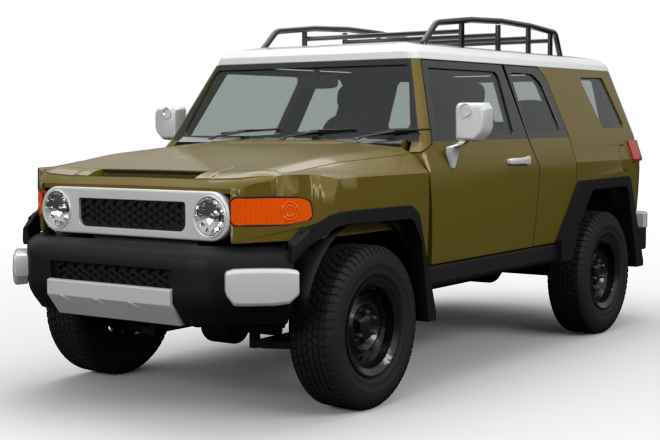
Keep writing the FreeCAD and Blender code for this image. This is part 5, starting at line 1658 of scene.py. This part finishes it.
@dataclass(frozen=True)
class Cabin:
    """Padded seats, headrests, the inside mirror and the dressed dashboard and steering wheel.

    Attributes:
        seat: Inner and outer side of a front seat.
        headrest: Inner and outer side of a rear headrest.
        bench: Half the rear bench's width.
    """

    shop: Workshop
    seat: Flat = (0.135, 0.635)
    headrest: Flat = (0.22, 0.46)
    bench: float = 0.585

    def cushion(self, name: str, low: Point, high: Point, lean: float, replaced: tuple = (),
                power: float = 4.0) -> None:
        """Make one padded piece.

        Args:
            name: The piece's name.
            low: Lower corner of its box.
            high: Upper corner.
            lean: How far it leans back, in degrees.
            replaced: CAD nodes that it stands for.
            power: How square it is.
        """
        foot = Vector(((low[0] + high[0]) / 2, (low[1] + high[1]) / 2, low[2]))
        place = (Matrix.Translation(foot) @ Matrix.Rotation(math.radians(lean), 4, "X")
                 @ Matrix.Translation(-foot))
        made = self.shop.form(name, superform(low, high, power, 16, 32), Role.FABRIC, replaced=replaced,
                              edge=60.0, place=place)

    def build(self) -> None:
        """Furnish the cabin."""
        for side, name in SIDES:
            inner, outer = sorted(side * edge for edge in self.seat)
            replaced = ("front_seats",) if side > 0 else ()
            self.cushion(f"seat_base_{name}", (inner, -0.36, 0.74), (outer, 0.16, 0.93), 3.0, replaced)
            self.cushion(f"seat_back_{name}", (inner, 0.10, 0.86), (outer, 0.25, 1.42), -14.0)
            middle = (inner + outer) / 2
            self.cushion(f"headrest_{name}", (middle - 0.14, 0.235, 1.43), (middle + 0.14, 0.335, 1.60),
                         -8.0, power=3.0)
            posts = merged(*(block((post - 0.006, 0.272, 1.36), (post + 0.006, 0.284, 1.46))
                             for post in (middle - 0.06, middle + 0.06)))
            self.shop.form(f"headrest_posts_{name}", posts, Role.CHROME, round_by=0.003)
            riser = block((inner + 0.05, -0.30, 0.622), (outer - 0.05, 0.12, 0.76))
            self.shop.form(f"seat_riser_{name}", riser, Role.DARK, round_by=0.006)
        self.cushion("rear_seat_base", (-self.bench, 0.71, 0.79), (self.bench, 1.22, 0.95), 4.0,
                     ("rear_seat",), 6.0)
        self.cushion("rear_seat_back", (-self.bench, 1.12, 0.88), (self.bench, 1.26, 1.36), -12.0,
                     power=6.0)
        for side, name in SIDES:
            low, high = sorted(side * edge for edge in self.headrest)
            self.cushion(f"rear_headrest_{name}", (low, 1.215, 1.36), (high, 1.295, 1.50), -8.0, power=3.0)
        mirror = superform((-0.13, -0.665, 1.545), (0.13, -0.640, 1.62), 4.0)
        self.shop.form("inside_mirror", mirror, Role.TRIM)
        stem = block((-0.012, -0.69, 1.60), (0.012, -0.655, 1.66))
        self.shop.form("inside_mirror_stem", stem, Role.TRIM, round_by=0.004)
        for node, rounding in (("dashboard", 0.02), ("steering_wheel", 0.0), ("steering_column", 0.004)):
            self.shop.panel(node, [Role.TRIM], Edge(rounding))


@dataclass(frozen=True)
class Wipers:
    """Three windscreen wipers: arm, blade and pivot cap.

    Attributes:
        pivots: Where the pivots stand, across.
        foot: Height of the pivots.
        arm: The arm's course: across from the pivot, height, lift off the glass.
        bridge: Course of the bar that holds the blade.
        blade: The blade's length.
        cap: Section of the pivot's cap, in (along, radius) pairs.
    """

    shop: Workshop
    pivots: Point = (-0.50, 0.0, 0.48)
    foot: float = 1.262
    arm: tuple = ((0.0, 1.262, 0.022), (0.03, 1.272, 0.034), (0.14, 1.292, 0.032), (0.20, 1.306, 0.020))
    bridge: tuple = ((0.14, 1.308, 0.017), (0.21, 1.310, 0.024), (0.30, 1.314, 0.017))
    blade: float = 0.40
    cap: tuple = ((0.0, 0.016), (0.014, 0.014), (0.018, 0.0))

    def build(self) -> None:
        """Rest the wipers along the foot of the windscreen."""
        tree = self.shop.surface("fixed_glass", "windscreen_frame")

        def on_screen(x: float, z: float, lift: float) -> Vector:
            """Find the glass behind a place and step off it."""
            point = tree.ray_cast(Vector((x, AHEAD, z)), BACKWARDS)[0] or Vector((x, -0.93, z))
            return point + Vector((0, -0.94, 0.34)) * lift

        for index, pivot in enumerate(self.pivots):
            name = f"wiper_{index + 1}"
            arm = [on_screen(pivot + across, up, lift) for across, up, lift in self.arm]
            self.shop.tube(name + "_arm", arm, 0.0062, Role.BLACK)
            blade = [on_screen(pivot + 0.02 + self.blade * step / 8, 1.297 + 0.024 * step / 8, 0.010)
                     for step in range(9)]
            self.shop.tube(name + "_blade", blade, 0.0058, Role.RUBBER)
            bridge = [on_screen(pivot + across, up, lift) for across, up, lift in self.bridge]
            self.shop.tube(name + "_bridge", bridge, 0.0042, Role.BLACK)
            place = (Matrix.Translation(on_screen(pivot, self.foot, 0.018))
                     @ Matrix.Rotation(math.radians(-100), 4, "Y"))
            self.shop.form(name + "_pivot", turned(self.cap, 20), Role.BLACK, place=place)
        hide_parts("wipers")


@dataclass(frozen=True)
class WheelTrim:
    """Centre caps, valves and lug nuts on the steel wheels, and liners in the front arches.

    Attributes:
        cap: Section of the centre cap, in (along, radius) pairs.
        nut: Section of a lug nut.
        nuts: Lug nuts on a wheel.
        nut_circle: Radius of the circle they stand on.
        valve: Section of the valve.
        valve_circle: How far the valve stands from the wheel's middle.
        liner_start: Angle at which a liner begins, in degrees.
        liner_sweep: How far it reaches round the wheel.
        liner_steps: Steps round it.
        liner_wall: Its thickness.
    """

    shop: Workshop
    cap: tuple = ((0.030, 0.0550), (0.058, 0.0545), (0.066, 0.0520), (0.070, 0.0440), (0.071, 0.0))
    nut: tuple = ((0.050, 0.0125), (0.072, 0.0120), (0.079, 0.0085), (0.081, 0.0))
    nuts: int = 6
    nut_circle: float = 0.0698
    valve: tuple = ((0.085, 0.0042), (0.112, 0.0040), (0.113, 0.0))
    valve_circle: float = 0.186
    liner_start: float = 15.0
    liner_sweep: float = 155.0
    liner_steps: int = 16
    liner_wall: float = 0.003

    def build(self) -> None:
        """Finish every wheel and line the front arches."""
        stem, out = turned(self.nut, 6), Matrix.Translation((0, 0, self.nut_circle))
        nuts = merged(*(moved(stem, Matrix.Rotation(math.tau * index / self.nuts, 4, "X") @ out)
                        for index in range(self.nuts)))
        valve = moved(turned(self.valve, 12), Matrix.Translation((0, 0, self.valve_circle)))
        pieces = (
            # name, shape, finish, sharp angle
            ("hub_cap", turned(self.cap, 48), Role.BLACK, 30.0),
            ("wheel_nuts", nuts, Role.RAW, 20.0),
            ("valve", valve, Role.RUBBER, 40.0))
        for spot in WHEELS:
            node = "rim_" + spot
            self.shop.panel(node, [Role.BLACK], Edge(0.0015))
            low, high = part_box("tyre_" + spot)
            turn = {"spare": 90, "front_right": 180, "rear_right": 180}.get(spot, 0)
            place = Matrix.Translation((low + high) / 2) @ Matrix.Rotation(math.radians(turn), 4, "Z")
            for label, shape, role, sharp in pieces:
                self.shop.form(f"{label}_{spot}", shape, role, self.shop.bodies[node], edge=sharp,
                               place=place)
        for side, name in SIDES:
            liner = lofted(self._liner(side), closed=False, capped=False)
            made = self.shop.form(f"arch_liner_{name}", liner, Role.PLASTIC, edge=50.0)
            wall = made.modifiers.new("wall", "SOLIDIFY")
            wall.thickness = self.liner_wall

    def _liner(self, side: int) -> list:
        """Run a liner's section over the front wheel.

        Args:
            side: 1 for the left arch, -1 for the right one.

        Returns:
            Rows of points.
        """
        rings = []
        for step in range(self.liner_steps + 1):
            angle = math.radians(self.liner_start + self.liner_sweep * step / self.liner_steps)
            radius = 0.505 + 0.03 * math.sin(angle)
            y = FRONT_WHEEL_Y - radius * math.cos(angle)
            z = WHEEL_Z + radius * math.sin(angle) * 0.98
            rings.append([(side * 0.42, y, z), (side * 0.60, y, z + 0.01), (side * 0.80, y, z + 0.012),
                          (side * 0.876, y, z)])
        return rings


def dress_nodes(frame: dict, palette: Palette) -> None:
    """Give every CAD node the finish of its material slot.

    Args:
        frame: The CAD nodes and the part's record.
        palette: Where the materials come from.
    """
    slots = {entry["node"]: entry["material_slot"] for entry in frame["record"]["subparts"]}
    for name, node in frame["nodes"].items():
        node.data.materials.clear()
        node.data.materials.append(palette.get(Role(slots[name])))


PANELS = (
    # node, finishes, how its edges and surface are dressed
    ("fenders", (Role.OLIVE, Role.PLASTIC), Edge(0.0012, None, True, True)),
    ("quarter_panels", (Role.OLIVE, Role.PLASTIC), Edge(0.004, None, True)),
    ("fuel_lid", (Role.OLIVE,), Edge(0.0015, None, True)),
    ("tailgate", (Role.OLIVE,), Edge(0.004)),
    *((f"{end}_door_{side}", (Role.OLIVE, Role.BLACK), Edge(0.003, 1.256, True))
      for end in ("front", "rear") for _, side in SIDES),
    ("windscreen_frame", (Role.BLACK, Role.OLIVE), Edge(0.004)),
    ("roof", (Role.WHITE,), Edge(0.006)),
    ("roof_rack", (Role.BLACK,), Edge(0.0)),
    ("side_cladding", (Role.PLASTIC,), Edge(0.009, tuck=True)),
    ("rear_bumper", (Role.PLASTIC,), Edge(0.010)),
    ("skid_plate", (Role.SILVER,), Edge(0.004)),
    ("grille_surround", (Role.SILVER,), Edge(0.005)),
    ("turn_lamps", (Role.AMBER,), Edge(0.004, tuck=True)),
    ("tail_lamps", (Role.RED,), Edge(0.004)),
)


def main() -> None:
    """Load the frame, dress it and set the studio."""
    logging.basicConfig(level=logging.INFO, format="%(message)s")
    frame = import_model()
    palette = Palette()
    dress_nodes(frame, palette)
    shop = Workshop(frame, palette)
    for node, roles, edge in PANELS:
        shop.panel(node, list(roles), edge)
    for kind in (Tyres, Hood, Bumper, Lamps, Wings, DoorFittings, Guards, Cabin, Wipers, WheelTrim):
        kind(shop).build()
    Studio().build()
    LOG.info("scene built")


if __name__ == "__main__":
    main()
